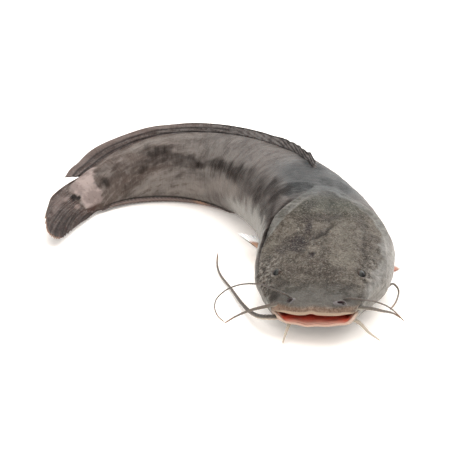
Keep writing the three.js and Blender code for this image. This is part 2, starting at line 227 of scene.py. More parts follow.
# ---- bending
HEADING = curve_through(TURNS)
ROLL = curve_through(ROLLS)
PATH_STEP = 1.0
PATH_END = TOTAL_LENGTH + 20
PATH_TURNS = np.radians(HEADING(np.arange(PATH_STEP / 2, PATH_END, PATH_STEP))[:, 0])
PATH_STEPS = np.stack([-np.sin(PATH_TURNS), np.cos(PATH_TURNS)], 1) * PATH_STEP
PATH = np.vstack([SNOUT, SNOUT + np.cumsum(PATH_STEPS, 0)])


def frame_at(at):
    """Where the belly line is at a distance along the body, and the fish's left and up there."""
    at = np.asarray(at, float)
    turn = np.radians(HEADING(at)[..., 0])
    lean = np.radians(ROLL(at)[..., 0])
    i = np.clip(np.floor(at / PATH_STEP).astype(int), 0, len(PATH) - 1)
    along = np.stack([-np.sin(turn), np.cos(turn)], -1)
    side = np.stack([np.cos(turn), np.sin(turn)], -1)
    flat = PATH[i] + along * (at - i * PATH_STEP)[..., None]
    base = np.concatenate([flat, np.zeros_like(flat[..., :1])], -1)
    left = np.concatenate([side * np.cos(lean)[..., None], -np.sin(lean)[..., None]], -1)
    up = np.concatenate([side * np.sin(lean)[..., None], np.cos(lean)[..., None]], -1)
    return base, left, up


def lift_rows(step=4, sides=72):
    """How far the belly line has to be lifted for the leaning body to rest on the ground."""
    places = np.arange(0, PATH_END + 1, step, dtype=float)
    _, left, up = frame_at(places)
    angles = round_angles(sides)
    _, x, z = skin_point(ring_of_side(places)[:, None], angles[None, :])
    low = np.minimum(0, (x * left[:, 2:] + z * up[:, 2:]).min(1))
    return np.stack([places, -low - SINK], 1)


LIFT = curve_through(lift_rows())


def bend(at, x, z):
    """Carries points in local measures to where they lie, never below the ground."""
    at, x, z = np.broadcast_arrays(*[np.asarray(v, float) for v in (at, x, z)])
    base, left, up = frame_at(at)
    point = base + left * x[..., None] + up * z[..., None]
    point[..., 2] = np.maximum(0, point[..., 2] + LIFT(at)[..., 0])
    return point


# ---- the grid of the skin
# About how far apart the rings of the mesh lie, in millimetres, from each ring to the next.
RING_GAPS = np.array([1.5] * 3 + [0.5] * 4 + [0.7] * 2 + [1.0] * 7 + [1.4] * (LAST_RING - 16))


def ring_steps():
    """Ring numbers from the back of the mouth to the tail, closer together on the head."""
    rows = np.array([(half, *side, *back, *belly) for half, side, back, belly, _, _ in RINGS])
    moves = abs(np.diff(rows, axis=0))
    gaps = np.maximum.reduce([
        np.hypot(moves[:, 0], moves[:, 1]), np.hypot(moves[:, 3], moves[:, 4]),
        np.hypot(moves[:, 5], moves[:, 6]),
    ])
    counts = np.maximum(3, np.ceil(gaps / RING_GAPS)).astype(int)
    rings = [i + k / n for i, n in enumerate(counts) for k in range(n)]
    return np.array(rings + [LAST_RING])


def skin_grid(sides):
    """The smooth skin as arrays over rings and angles: at, x, z, and the girth, the distance round
    the section from the middle of the back, more than 0 on the fish's left."""
    rings = ring_steps()
    angles = round_angles(sides)
    at, x, z = skin_point(rings[:, None], angles[None, :])
    top, bottom = sides // 4, 3 * sides // 4
    pieces = np.hypot(np.roll(x, -1, 1) - x, np.roll(z, -1, 1) - z)
    girth = np.zeros_like(x)
    right = np.cumsum(pieces[:, top:bottom], 1)
    girth[:, top + 1:bottom + 1] = -right
    order = np.arange(top - 1, bottom - sides, -1) % sides
    girth[:, order] = np.cumsum(pieces[:, order], 1)
    return rings, angles, at, x, z, girth


def drawn(at, girth, points, width):
    """A soft line drawn on the skin through (at, girth) points, 1 in its middle."""
    best = np.full(np.shape(at), np.inf)
    for (a0, g0), (a1, g1) in zip(points[:-1], points[1:]):
        da, dg = a1 - a0, g1 - g0
        t = np.clip(((at - a0) * da + (girth - g0) * dg) / (da * da + dg * dg), 0, 1)
        best = np.minimum(best, np.hypot(at - a0 - t * da, girth - g0 - t * dg))
    return bell(best / width)


# ---- landmarks on the skin
# The rear edge of the skull, as (at, distance round the section).
SKULL_EDGE = [
    (118, 0), (116.5, 5), (112.5, 8), (105.3, 17), (94.8, 26), (85, 32.5), (75.5, 36.5), (65, 38.5),
    (55, 39.5), (42, 41), (30, 44),
]
# The gill opening, as (at, distance round the section): down the side, then forwards along its foot.
GILL_OPENING = [
    (126, 0), (124.5, 7), (119.5, 11), (110.5, 20), (104, 30), (99.5, 34.7), (95, 38.5), (88, 41),
    (75, 41.4), (55, 40.6), (44, 39.5),
]
GILL_SIDE = GILL_OPENING[:8]  # the part that runs down the side
# Where the dark band along the flank has its middle: (at, girth), and half its width there.
FLANK_BAND = [
    (105, -44, 7), (125, -45, 9), (145, -45, 11), (165, -43, 9), (190, -42, 8.5), (215, -40.5, 6.5),
    (242, -36.5, 4), (267, -37.5, 3.6), (283, -35, 4.5), (300, -30, 6.5), (320, -28, 3.5),
    (335, -24, 3), (350, -20, 2.5),
]
BAND = curve_through(FLANK_BAND)
# The bare pale patch on the base of the tail: its front and rear edge, as (height, at).
PATCH_FRONT = [(8, 359), (12, 353), (18, 355), (25, 354.5), (28.5, 353), (33, 350.5), (37, 347)]
PATCH_REAR = [
    (8, 362), (11, 371), (17, 369.5), (22, 367.5), (26, 369.5), (30, 369), (32.5, 366), (35, 359),
]
# The belly fin, folded up against the right side: spread is how far round the section it reaches, in
# degrees, and tuck how much of its root lies on the other side of the lowest line.
BELLY_FIN = {"start": 228, "end": 352, "spread": 20, "tuck": 8, "slant": 5, "sunk": 1.2, "proud": 0.8}
BELLY_FIN_EDGE = 270 - BELLY_FIN["spread"]

# How far from the midline the lips meet, and at what height they would in the middle.
LIPS_MEET = 21.5
LIP_SEAM = 19.4
# How much of their width the lower cheeks lose, left and right, beyond this distance from the midline.
SLIMMER = (0.42, 0.15)
CHEEKS_FROM = 18


def lip_wave(x):
    """How the lower lip rises and falls along the mouth, in millimetres."""
    return 0.28 * np.sin(x * 0.55 + 0.9) + 0.3 * np.sin(x * 0.27 - 1.1)


def slimmer_cheeks(at, x, z):
    """The skin's distance from the midline, less than in the solid near the corners of the mouth."""
    beyond = np.maximum(0, abs(x) - CHEEKS_FROM)
    share = np.where(x > 0, *SLIMMER) * stretch(at, 5, 13, 26, 48) * ramp(27, 16, z)
    return x - np.sign(x) * share * beyond


def shaped_lips(rings, x, z):
    """The height of the skin with the soft uneven edges of the lips, which meet before the corners."""
    ring = rings[:, None]
    at_lip = stretch(ring, 1.2, 3.2, 5.5, 7.5)
    peak = 0.9 * bell((x + 1.6) / 2.3) - 0.35 * bell((x + 9) / 5) - 0.3 * bell((x - 12) / 6) - 0.1
    z = z + at_lip * np.where(z < 17, 0.8 + lip_wave(x), peak)
    seam = LIP_SEAM - 2.8 * (x / LIPS_MEET) ** 2
    shut = stretch(ring, -0.5, 2.0, 5.0, 6.2) * ramp(0.72, 1.18, abs(x) / LIPS_MEET)
    return mix(z, seam, 0.96 * shut)


# ---- small parts of the head
# The eyes: their place, radius, depth and height for it, and which way they look, as (at, x, z).
EYE = {"at": 35.4, "x": 24, "z": 29.3, "radius": 2.8, "narrow": 0.8, "tall": 1.2, "gaze": (-1.4, 2.6, 1.4)}
NOSTRILS = {
    "nostril_right": {"at": 8.6, "x": -13.6, "z": 24.6, "stretch": 1.1},
    "nostril_left": {"at": 7.9, "x": 14.6, "z": 24.3, "stretch": 1.5},
}
EYE_CENTRES = [bend(EYE["at"], side * EYE["x"], EYE["z"]) for side in (-1, 1)]
NOSTRIL_CENTRES = [bend(n["at"], n["x"], n["z"]) for n in NOSTRILS.values()]


def nearest(place, centres, stretch=(1, 1, 1)):
    """Each point's distance from the nearest of the centres."""
    return np.minimum.reduce([np.linalg.norm((place - c) * stretch, axis=-1) for c in centres])


def eye_distance(place):
    """How far each point is from the nearer eye, whose socket is narrower than it is tall."""
    return nearest(place, EYE_CENTRES, (1.25, 1, 1))


# Ridges and furrows of the head: (at, girth) points, height, width, and whether both sides have it.
HEAD_LINES = [
    ([(46, 0.4), (60, 0.6), (72, 0.2)], -0.4, 1.2, False),
    ([(82, 3), (78.5, 1.6), (72, -1), (67.5, -4.5)], -1, 1.6, False),
    ([(93, -18), (90.5, -8), (91.5, 0), (92.5, 9)], -0.4, 2.2, False),
    ([(84, 0), (98, 0.5), (108, 0)], -0.35, 2.2, False),
    ([(18.5, -15), (16.5, -5), (17, 6), (20.5, 15)], 0.35, 1.6, False),
    ([(23, -16), (21.5, 0), (23.5, 15)], -0.35, 1.5, False),
    ([(33, -12), (29, -2), (33, 9)], -0.3, 2, False),
    ([(94, 21), (82, 23.6), (67, 23.4), (50, 25.4), (42, 26)], -0.45, 1.6, False),
    ([(96, 12), (80, 17.5), (62, 19.5), (46, 19)], 0.5, 3, True),
    ([(62, 34), (52, 31.5), (44, 31)], -0.5, 1.2, True),
    ([(30, 27), (24, 29), (19, 31)], -0.45, 1.2, True),
    ([(108, 9), (101, 17), (92, 23)], 0.4, 2.4, True),
]
# Hollows of the skull: at, girth, length, width, depth.
HEAD_DENTS = [
    (72, -9.8, 4.5, 3, 0.9), (57, -15, 6.5, 6, 0.7), (50, -5.6, 2, 1.8, 0.6), (26.5, 1.1, 1.3, 1, 0.6),
    (40.5, -34.5, 2, 1.8, 0.8), (31, -31, 2.2, 2, 0.8), (64, 7, 7, 5, 0.35), (92, 10, 5, 4, 0.35),
]


# ---- relief of the skin
def wobble(points, size, octaves=3, shift=0.0):
    """Soft noise from about -1 to 1 at each point, its largest lumps about size across."""
    scaled = np.asarray(points, float).reshape(-1, 3) / size + shift
    values = [noise.fractal(p, 1.0, 2.0, octaves) for p in scaled.tolist()]
    return np.array(values).reshape(np.shape(points)[:-1])


def flat_wobble(a, b, size, octaves, shift):
    """Soft noise like that of wobble, over two measures."""
    return wobble(np.stack(np.broadcast_arrays(a, b, 0.0), -1), size, octaves, shift)


def before_line(at, side, points, soft):
    """1 before a line of (at, distance round) points, 0 behind it, blurred by soft on both sides."""
    places, rounds = np.transpose(points)
    return ramp(soft, -soft, at - np.interp(side, rounds, places))


def near_side(girth):
    """1 on the fish's right, where the neck is bent and its folds are deep, less on its left."""
    return mix(0.12, 1, ramp(6, -6, girth))


def shifted(points, along, around):
    """A line on the skin, moved along the body and round the section."""
    return [(a + along, g + around) for a, g in points]


def skin_relief(ring, at, girth, place):
    """How far the skin stands out from its smooth shape, in millimetres."""
    side = abs(girth)
    head = ramp(6.2, 7.4, ring)
    skull = before_line(at, side, SKULL_EDGE, 1.5) * head

    relief = 0.3 * wobble(place, 11) * head
    relief += 0.28 * wobble(place, 4, 2) * skull * ramp(16, 34, at)
    # the edge of the skull, the soft fold behind it and the gill opening
    relief += 0.5 * drawn(at, side, SKULL_EDGE, 1.4) * head
    relief -= 0.45 * drawn(at, side, shifted(SKULL_EDGE, 2.8, 1.2), 1.3) * head
    relief += 0.8 * drawn(at, side, shifted(GILL_OPENING, -3.6, -1.6), 2.2)
    deep = mix(0.3, 2.8, ramp(20, 34, side)) * near_side(girth)
    relief -= deep * drawn(at, side, GILL_OPENING, 1.5)
    # ridges, furrows and hollows of the skull
    for points, height, width, both in HEAD_LINES:
        relief += height * drawn(at, side if both else girth, points, width) * head
    for dent_at, dent_girth, long, wide, depth in HEAD_DENTS:
        relief -= depth * bell(np.hypot((at - dent_at) / long, (girth - dent_girth) / wide))
    # the sockets of the eyes, the nostrils and the crease above the upper lip
    to_eye = eye_distance(place)
    relief += 0.6 * bell((to_eye - 4.1) / 0.7) - 1.5 * bell(to_eye / 2.7)
    to_nostril = nearest(place, NOSTRIL_CENTRES)
    relief += 0.6 * bell((to_nostril - 2.1) / 1) - 1.3 * bell(to_nostril / 1.1)
    relief -= 0.4 * bell((ring - 7.2) / 0.35) * (place[..., 2] > 15)
    # folds across the shoulder, finer ones across the flank
    relief += 0.5 * flat_wobble(at, 0.13 * girth, 6.5, 2, 3.1) * stretch(at, 106, 116, 165, 205)
    relief += 0.2 * flat_wobble(at, 0.13 * girth, 3, 2, 7.7) * stretch(at, 118, 140, 250, 340)
    # the line along the flank
    relief += 0.3 * bell((side + BAND(at)[..., 0]) / 0.9) * stretch(at, 150, 175, 330, 345)
    return relief * ramp(1.8, 4.2, ring)


# ---- where the skin has which colour
def spots(at, around, rows):
    """The strongest of some patches with soft edges: rows of place, length, width and strength."""
    near = [(np.hypot((at - a) / long, (around - g) / wide), depth) for a, g, long, wide, depth in rows]
    return np.maximum.reduce([depth * ramp(1.35, 0.45, distance) for distance, depth in near])


def tail_patch(at, height):
    """The bare pale patch on the base of the tail, which runs on over the tail fin."""
    ragged = flat_wobble(at, height, 5, 4, 2.7)
    front, rear = along_line(height, PATCH_FRONT), along_line(height, PATCH_REAR)
    inside = ramp(front - 1.5, front + 1, at + 3 * ragged) * ramp(rear + 0.8, rear - 0.8, at + 2 * ragged)
    return inside * ramp(8, 10, height + ragged)


# Dark spots of body and head, some of them painted shadow on the shoulder and painted shade along the foot of
# the gill opening, and purple ones of the skull: at, girth, length, width, strength.
DARK_SPOTS = [
    (50, -5.6, 2, 2, 0.7), (86, 5, 4, 6, 0.3), (40.5, -34.5, 2.4, 2, 0.9), (31, -31, 2.6, 2.2, 0.9),
    (137, -38, 8, 10, 1), (122, -33, 8, 8, 0.9), (112, -41, 6, 6, 0.9), (150, -47, 10, 8, 0.7),
    (304, -24, 10, 6, 1), (314, -17, 6, 5, 0.6), (320, -31, 6, 3.5, 0.9), (347, -22, 4, 4, 0.95),
    (288, -37, 9, 4, 0.7), (337, -18, 6, 3, 0.5), (330, -37, 7, 3, 0.4), (345, -12, 6, 4, 0.4),
    (15.5, -24, 5, 4, 0.9), (22, -24, 5, 5, 0.6), (21, 19, 4, 3, 0.5), (122, -53, 8, 5, 0.9),
    (100, -45, 7, 4, 0.9), (146, -42, 8, 7, 0.7), (98, -39.5, 9, 3, 0.8),
    (86, -40.5, 10, 3.5, 1), (75, -41, 9, 2.2, 0.9), (130, -37, 8, 6, 1), (119, -40, 8, 6, 1),
]
PURPLE_SPOTS = [
    (61, -15, 11, 6.5, 1), (79, -11, 8, 3.2, 1), (58, -23, 6, 3, 0.9), (49, -5.6, 3.5, 2, 1),
    (70, -6, 5, 4, 0.5), (90, -2, 4, 8, 0.5), (101, -14, 5, 6, 0.5), (66, -20, 5, 5, 0.6),
    (84, -15, 4, 3, 0.5), (78, 12, 3, 3, 0.4),
]
# Lighter patches of the skull.
LIGHT_SPOTS = [
    (76, 8.5, 13, 8, 1), (45, 12, 9, 8, 1), (60, 16, 10, 5, 0.8), (65, -32.5, 10, 3.5, 1),
    (98, -7.4, 4.5, 3.5, 1), (82, -25, 5, 3, 0.7), (66, -2, 5, 3, 0.5),
]
# Pale patches of the lower cheeks, and the lightest ones below the corners of the mouth.
CHEEK_SPOTS = [
    (18, -32, 5, 3.5, 1), (26, -35, 5, 2, 0.6), (23, 33, 9, 6, 1), (33, 38, 9, 5, 1), (46, 42, 9, 4, 0.8),
]
BRIGHT_SPOTS = [(20, 36, 8, 6, 1), (30, 41, 8, 4, 0.8), (17, -34, 4, 3, 0.9)]
# Brown patches of the skull.
BROWN_SPOTS = [
    (63, 27, 15, 4, 0.8), (52, -24, 12, 4, 0.8), (86, -17, 6, 6, 1), (33, -16, 8, 8, 0.9), (31, 2, 8, 14, 1),
    (40, -3, 7, 10, 0.6), (23, 15, 6, 6, 0.7), (50, -30, 5, 4, 0.5), (92, 20, 7, 6, 0.5),
]
# Light patches of the flank.
FLANK_LIGHTS = [
    (310, -47, 16, 8, 1), (278, -57, 22, 9, 1), (240, -53, 22, 7, 0.9), (208, -54, 18, 7, 0.9),
    (312, -11, 14, 5, 0.9), (290, -11, 14, 5, 0.6), (160, -42, 5, 4, 0.6),
]
# Dark patches of the nape, and painted shadow on the shoulder behind the gill opening.
NECK_SPOTS = [
    (138, -12, 16, 14, 0.6), (121, -20, 7, 15, 1.3), (115, -25, 5, 8, 1.1), (150, 0, 12, 9, 0.8),
    (128, 14, 8, 6, 0.6), (130, 2, 8, 8, 0.7),
]
# Patches of the tail and its fin: at, z, length, height, strength.
TAIL_SPOTS = {
    "dark": [(371.5, 23.6, 2.4, 1.9, 2), (369.8, 20.9, 1.7, 1.5, 1.8), (373.6, 21.4, 1.2, 1.2, 1)],
    "pale": [(376, 16, 3, 2, 1.1), (378, 25.8, 4, 1.6, 0.6), (384, 28, 9, 3, 0.35), (391, 26, 8, 2, 0.35)],
    "red": [(372, 9, 11, 4, 1), (362, 32, 5, 2, 0.6), (398, 14, 12, 3, 0.5)],
}
# Reddish patches of the skin before the tail fin.
STUMP_REDS = [(368, 8, 9, 3, 0.9), (360, 36, 9, 2, 0.5)]
# How far round the section the pale belly begins: (at, distance round the section).
BELLY_EDGE = [(90, 46), (120, 49), (150, 56), (190, 60), (230, 62), (300, 60)]


def dark_marks_and_shade(at, girth, place, ragged, torn, behind_gill):
    """The dark band along the flank, the dark spots, painted shadow on the shoulder, and painted shade at the
    foot of the gill opening.
    """
    side = abs(girth)
    middle, half = np.moveaxis(BAND(at), -1, 0)
    dark = ramp(1.5, 0.4, abs(side + middle + 4 * ragged) / half) * behind_gill
    dark *= mix(0.7, 1, ramp(-0.4, 0.3, wobble(place, 20, 3, 9.1))) * mix(0.35, 1, ramp(326, 308, at))
    dark *= (1 - 0.4 * bell((at - 170) / 16)) * ramp(98, 108, at)
    # painted shade at the foot of the gill opening, deepest on the bent right side
    foot = bell((side - 41) / 3.5) * stretch(at, 60, 72, 110, 122) * near_side(girth)
    return np.clip(np.maximum.reduce([dark, spots(*torn, DARK_SPOTS), foot]), 0, 1)


def crease_shade_and_tail_spots(ring, angle, at, girth, ragged, tail_dark):
    """Painted shade in the gill opening and the head's furrows, a painted shadow along the belly fin's edge,
    the tail's dark spots.
    """
    side = abs(girth)
    # painted shade in the gill opening, deepest on the bent right side, and in the furrows of the head
    crease = drawn(at, side, GILL_OPENING, 1.7) * ramp(20, 33, side) * near_side(girth)
    around = girth + 2 * ragged
    for points, height, width, both in HEAD_LINES:
        if height < 0:
            line = drawn(at + 3 * ragged, abs(around) if both else around, points, width)
            crease = np.maximum(crease, -0.8 * height * line)
    # a painted shadow along the free edge of the belly fin, which is folded up against the side
    fold = bell((np.degrees(angle) - BELLY_FIN_EDGE) / 2.4) * stretch(at, 224, 236, 350, 360)
    return np.clip(np.maximum.reduce([crease, 0.9 * fold, tail_dark]) * ramp(6.6, 7.2, ring), 0, 1)


def skin_fields(ring, angle, at, x, z, girth, place):
    """Masks from 0 to 1 over the skin, for its material."""
    side = abs(girth)
    ragged = wobble(place, 9, 3, 5.3)
    torn = at + 4 * ragged, girth + 3 * ragged
    skull = before_line(at + 3 * ragged, abs(girth + ragged), SKULL_EDGE, 1.6)
    before_gill = before_line(at, side, GILL_SIDE, 0.8) * ramp(42.5, 40.5, side)
    lip = ramp(7.0, 5.8, ring + 0.35 * ragged)
    upper = ramp(14.5, 16.5, z)
    to_eye = eye_distance(place)
    tail_dark = spots(at, z, TAIL_SPOTS["dark"])
    # the pale belly, the strip below the gill cover, the cheek under the mouth and the fish's left cheek
    belly = ramp(-4, 6, side - along_line(at, BELLY_EDGE) + 4 * ragged) * stretch(at, 100, 112, 200, 240)
    strip = ramp(44, 46, side) * stretch(at, 36, 60, 96, 108)
    under = ramp(-2, 4, side + 3 * ragged - 31 - 0.22 * at) * stretch(at, 8, 14, 44, 60)
    left_cheek = ramp(-2, 2, girth + 4 * ragged - np.minimum(35, 25 + 0.2 * at))
    left_cheek *= 0.95 * stretch(at, 12, 20, 66, 95)
    rear_brown = 0.75 * ramp(262, 325, at) * ramp(-50, -36, girth)
    return {
        "skull": skull * (1 - lip),
        "head": before_gill,
        "dark": dark_marks_and_shade(at, girth, place, ragged, torn, 1 - before_gill),
        "purple": spots(*torn, PURPLE_SPOTS) * skull,
        "light": spots(*torn, LIGHT_SPOTS) * skull + spots(*torn, FLANK_LIGHTS) * (1 - before_gill),
        "crease": crease_shade_and_tail_spots(ring, angle, at, girth, ragged, tail_dark),
        "pale": np.maximum.reduce([belly, strip, under * (1 - lip), left_cheek, spots(*torn, CHEEK_SPOTS)]),
        "bright": spots(*torn, BRIGHT_SPOTS),
        "cheek": ramp(21, 29, side + 4 * ragged) * ramp(62, 46, at),
        "stump": tail_patch(at, z) * (1 - np.clip(tail_dark, 0, 1)),
        "red": spots(at, z, STUMP_REDS),
        # dark patches of the nape, with painted shadow on the shoulder
        "neck": spots(*torn, NECK_SPOTS) * (1 - before_gill),
        # the blue-grey of the nape, its sheen painted into the colour
        "blue_grey_and_sheen": ramp(100, 124, at + 3 * ragged) * ramp(190, 140, at + 0.3 * side) * ramp(36, 22, side),
        "olive": bell((at - 104) / 12) * ramp(30, 16, side) * skull,
        "brown": np.maximum(spots(*torn, BROWN_SPOTS) * skull, rear_brown),
        "collar": (1 - skull) * before_gill * ramp(56, 74, at),
        "ridge": drawn(at, side, SKULL_EDGE, 0.8) * ramp(50, 62, at) * near_side(girth),
        "snout": ramp(28, 12, at) * upper * (1 - lip) * ramp(29, 21, side + 3 * ragged),
        "lip": lip * ramp(4.9, 5.4, ring) * upper * ramp(25, 18, x + 2 * ragged),
        "cream": np.maximum(lip * ramp(5.5, 5.0, ring), lip * (1 - upper)),
        "inner": np.maximum(ramp(5.2, 3.8, ring) * (1 - upper), ramp(4.2, 3.2, ring)),
        "corner": ramp(19, 23, abs(x)) * ramp(6.6, 5.6, ring + 0.3 * ragged) * ramp(5, 0, x),
        "under": 1 - upper,
        "freckled": left_cheek,
        # painted shade at the bottom of each nostril's bore
        "nostril": bell(nearest(place, NOSTRIL_CENTRES) / 1.3),
        "eyelid": bell((to_eye - 4.1) / 0.45) * ramp(EYE["x"] - 1.5, EYE["x"] + 1.5, abs(x)),
        # painted shade in the crevice round each eyeball
        "socket": bell((to_eye - 3) / 0.9),
    }


# ---- meshes
def loft_faces(count, sides, shut):
    """The faces of a loft: four-cornered ones between rings, and a fan on each end that is shut, whose
    middles are the points after those of the rings."""
    ids = np.arange(count * sides).reshape(count, sides)
    near, far = ids[:-1], ids[1:]
    faces = np.stack([near, far, np.roll(far, -1, 1), np.roll(near, -1, 1)], -1).reshape(-1, 4).tolist()
    middle = count * sides
    for ring, step, close in ((ids[0], -1, shut[0]), (ids[-1], 1, shut[1])):
        if close:
            faces += [[middle, int(b), int(a)] for a, b in zip(ring, np.roll(ring, step))]
            middle += 1
    return faces


def turned_out(points, faces, centre):
    """The faces, all turned over if they point at the centre."""
    corners = np.array([face[:3] for face in faces] + [[f[0], f[2], f[3]] for f in faces if len(f) == 4])
    a, b, c = (points[corners[:, k]] - centre for k in range(3))
    return faces if (a * np.cross(b, c)).sum() > 0 else [face[::-1] for face in faces]


def loft(name, rings, fields=None, shut=(True, True), lining=False):
    """A smooth mesh through rings of points in millimetres, an end that is shut closed by a fan to its
    middle. A lining shows its inner side."""
    count, sides = rings.shape[:2]
    ends = [end for end, close in zip((0, -1), shut) if close]
    points = np.vstack([rings.reshape(-1, 3)] + [rings[end].mean(0) for end in ends])
    faces = turned_out(points, loft_faces(count, sides, shut), rings[-1].mean(0))
    if lining:
        faces = [face[::-1] for face in faces]
    grids = {key: np.broadcast_to(value, (count, sides)) for key, value in (fields or {}).items()}
    values = {key: np.append(grid.ravel(), [grid[end].mean() for end in ends]) for key, grid in grids.items()}
    return mesh_piece(name, points, faces, values)


def placed(name, data):
    """A new object in the scene, from a mesh, a light or a camera."""
    thing = bpy.data.objects.new(name, data)
    bpy.context.scene.collection.objects.link(thing)
    return thing


def mesh_piece(name, points, faces, fields):
    """A mesh object from points in millimetres, kept inside the box of the part."""
    low, high = np.array(CAD_BOX[0]) / MM, np.array(CAD_BOX[1]) / MM
    mesh = bpy.data.meshes.new(name)
    mesh.from_pydata((np.clip(points, low, high) * MM).tolist(), [], faces)
    for key, values in fields.items():
        mesh.attributes.new(key, "FLOAT", "POINT").data.foreach_set("value", np.asarray(values, np.float32))
    mesh.shade_smooth()
    mesh.update()
    return placed(name, mesh)


def grid_normals(rings):
    """Unit normals of a closed grid of points, pointing out of the fish."""
    along = np.gradient(rings, axis=0)
    around = np.roll(rings, -1, 1) - np.roll(rings, 1, 1)
    return unit(np.cross(along, around))


def tube(middles, across, over, radii, sides):
    """Rings round a row of middles, in the plane of two axes at each, as wide as the radii."""
    turn = round_angles(sides)[:, None]
    spokes = across[..., None, :] * np.cos(turn) + over[..., None, :] * np.sin(turn)
    return middles[..., None, :] + spokes * radii


def finish_piece(piece, material):
    """Gives a piece its material and its place in the part."""
    piece.data.materials.append(material)
    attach(piece, "root")
    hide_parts("fish_body")
    return piece


# ---- materials
# How many times brighter than white a white surface lying flat looks in the studio.
STUDIO_LIGHT = 1.8


def linear(code):
    """The colour that shows as these six hexadecimal digits in the studio's strong light."""
    parts = [int(code[i:i + 2], 16) / 255 for i in (0, 2, 4)]
    shown = [c / 12.92 if c <= 0.04045 else ((c + 0.055) / 1.055) ** 2.4 for c in parts]
    return tuple(c / STUDIO_LIGHT for c in shown) + (1,)


class Paint:
    """One material: a Principled shader and the nodes that feed it."""

    def __init__(self, name, **numbers):
        self.material = bpy.data.materials.new(name)
        self.material.use_nodes = True
        self.tree = self.material.node_tree
        self.shader = self.tree.nodes["Principled BSDF"]
        for key, value in numbers.items():
            self.shader.inputs[key.replace("_", " ")].default_value = value
        self.place = self.node("TexCoord").outputs["Object"]

    def node(self, kind, inputs=(), **settings):
        node = self.tree.nodes.new("ShaderNode" + kind)
        for key, value in settings.items():
            setattr(node, key, value)
        for key, value in inputs:
            self.feed(node.inputs[key], value)
        return node

    def feed(self, socket, value):
        if isinstance(value, bpy.types.NodeSocket):
            self.tree.links.new(value, socket)
        else:
            socket.default_value = value

    def field(self, name):
        """A number stored on the mesh."""
        return self.node("Attribute", attribute_name=name).outputs["Fac"]

    def plane(self, along, around):
        """The developed skin in millimetres, at and girth each stretched by a factor."""
        inputs = [("X", self.part("at", along)), ("Y", self.part("girth", around))]
        return self.node("CombineXYZ", inputs).outputs["Vector"]

    def noise(self, size, detail, rough, vector=None):
        """Noise from 0 to 1 with lumps about size millimetres across."""
        scale = 1 / size if vector else 1 / size / MM
        inputs = {"Vector": vector or self.place, "Scale": scale, "Detail": detail, "Roughness": rough}
        return self.node("TexNoise", inputs.items()).outputs["Fac"]

    def math(self, how, *values):
        return self.node("Math", list(enumerate(values)), operation=how).outputs[0]

    def mul(self, value, factor):
        return self.math("MULTIPLY", value, factor)

    def part(self, name, factor):
        """A number stored on the mesh, times a factor."""
        return self.mul(self.field(name), factor)

    def slope(self, value, low, high, start=0.0, end=1.0):
        """Goes smoothly from start at low to end at high."""
        inputs = {"Value": value, "From Min": low, "From Max": high, "To Min": start, "To Max": end}
        return self.node("MapRange", inputs.items(), interpolation_type="SMOOTHSTEP").outputs[0]

    def blend(self, under, over, share):
        """Two colours, share of the way from the first to the second."""
        node = self.node("Mix", data_type="RGBA")
        for key, value in (("Factor_Float", share), ("A_Color", under), ("B_Color", over)):
            socket = next(s for s in node.inputs if s.identifier == key)
            self.feed(socket, linear(value) if isinstance(value, str) else value)
        return next(s for s in node.outputs if s.identifier == "Result_Color")

    def over(self, hue, *layers):
        """A colour under layers of (colour, share)."""
        for colour, share in layers:
            hue = self.blend(hue, colour, share)
        return hue

    def made(self, hue, relief=None, height=0.0):
        """The material in this colour, with a fine relief whose full height is in millimetres."""
        self.feed(self.shader.inputs["Base Color"], hue)
        if relief:
            bump = self.node("Bump", [("Height", relief), ("Distance", height * MM), ("Strength", 1.0)])
            self.feed(self.shader.inputs["Normal"], bump.outputs["Normal"])
        return self.material


def flank_colour(paint, clouds, patches, streaks, threads, strokes, rear):
    """Grey brown, browner at the rear, streaked across, lighter and darker in clouds."""
    part, slope, mul = paint.part, paint.slope, paint.mul
    return paint.over(
        paint.blend("756D68", "8F8781", slope(clouds, 0.4, 0.6)),
        ("69554A", part("brown", 0.8)),
        ("584C45", mul(slope(streaks, 0.5, 0.34, 0, 0.55), slope(rear, 0, 1, 1, 0.45))),
        ("A59B93", part("light", 0.75)),
        ("B3A69E", mul(slope(strokes, 0.52, 0.62), mul(rear, 0.4))),
        ("54443C", mul(slope(strokes, 0.48, 0.38), mul(rear, 0.5))),
        ("ADA49B", mul(slope(threads, 0.53, 0.66, 0, 0.3), slope(rear, 0, 1, 1, 0.6))),
        ("584C46", mul(slope(threads, 0.47, 0.35, 0, 0.35), slope(rear, 0, 1, 1, 0.6))),
        ("A0958F", slope(patches, 0.54, 0.66, 0, 0.4)),
    )


def crown_colour(paint, grain, specks):
    """The skull: grey brown under light grains, with brown clouds."""
    part, slope = paint.part, paint.slope
    return paint.over(
        paint.blend("5E5348", "8F8477", slope(paint.noise(9, 4, 0.65), 0.4, 0.6)),
        ("9F9687", part("light", 0.6)),
        ("4D3F35", part("brown", 0.7)),
        ("433931", slope(specks, 0.49, 0.38, 0, 0.6)),
        ("AEA599", slope(specks, 0.53, 0.65, 0, 0.5)),
        ("64665A", part("olive", 0.75)),
        ("33272A", part("purple", 0.85)),
        ("C9C0B1", slope(grain, 0.51, 0.62, 0, 0.5)),
        ("30271F", slope(grain, 0.48, 0.37, 0, 0.5)),
    )


def cheek_colour(paint, lumps, grain):
    """Cheeks and gill covers: dark, under light lumps."""
    slope = paint.slope
    return paint.over(
        paint.blend("4A4139", "958B7F", slope(lumps, 0.45, 0.54)),
        ("D8D1C6", slope(lumps, 0.54, 0.62, 0, 0.85)),
        ("C6BDB1", slope(grain, 0.52, 0.62, 0, 0.5)),
        ("332A24", slope(grain, 0.48, 0.37, 0, 0.55)),
    )


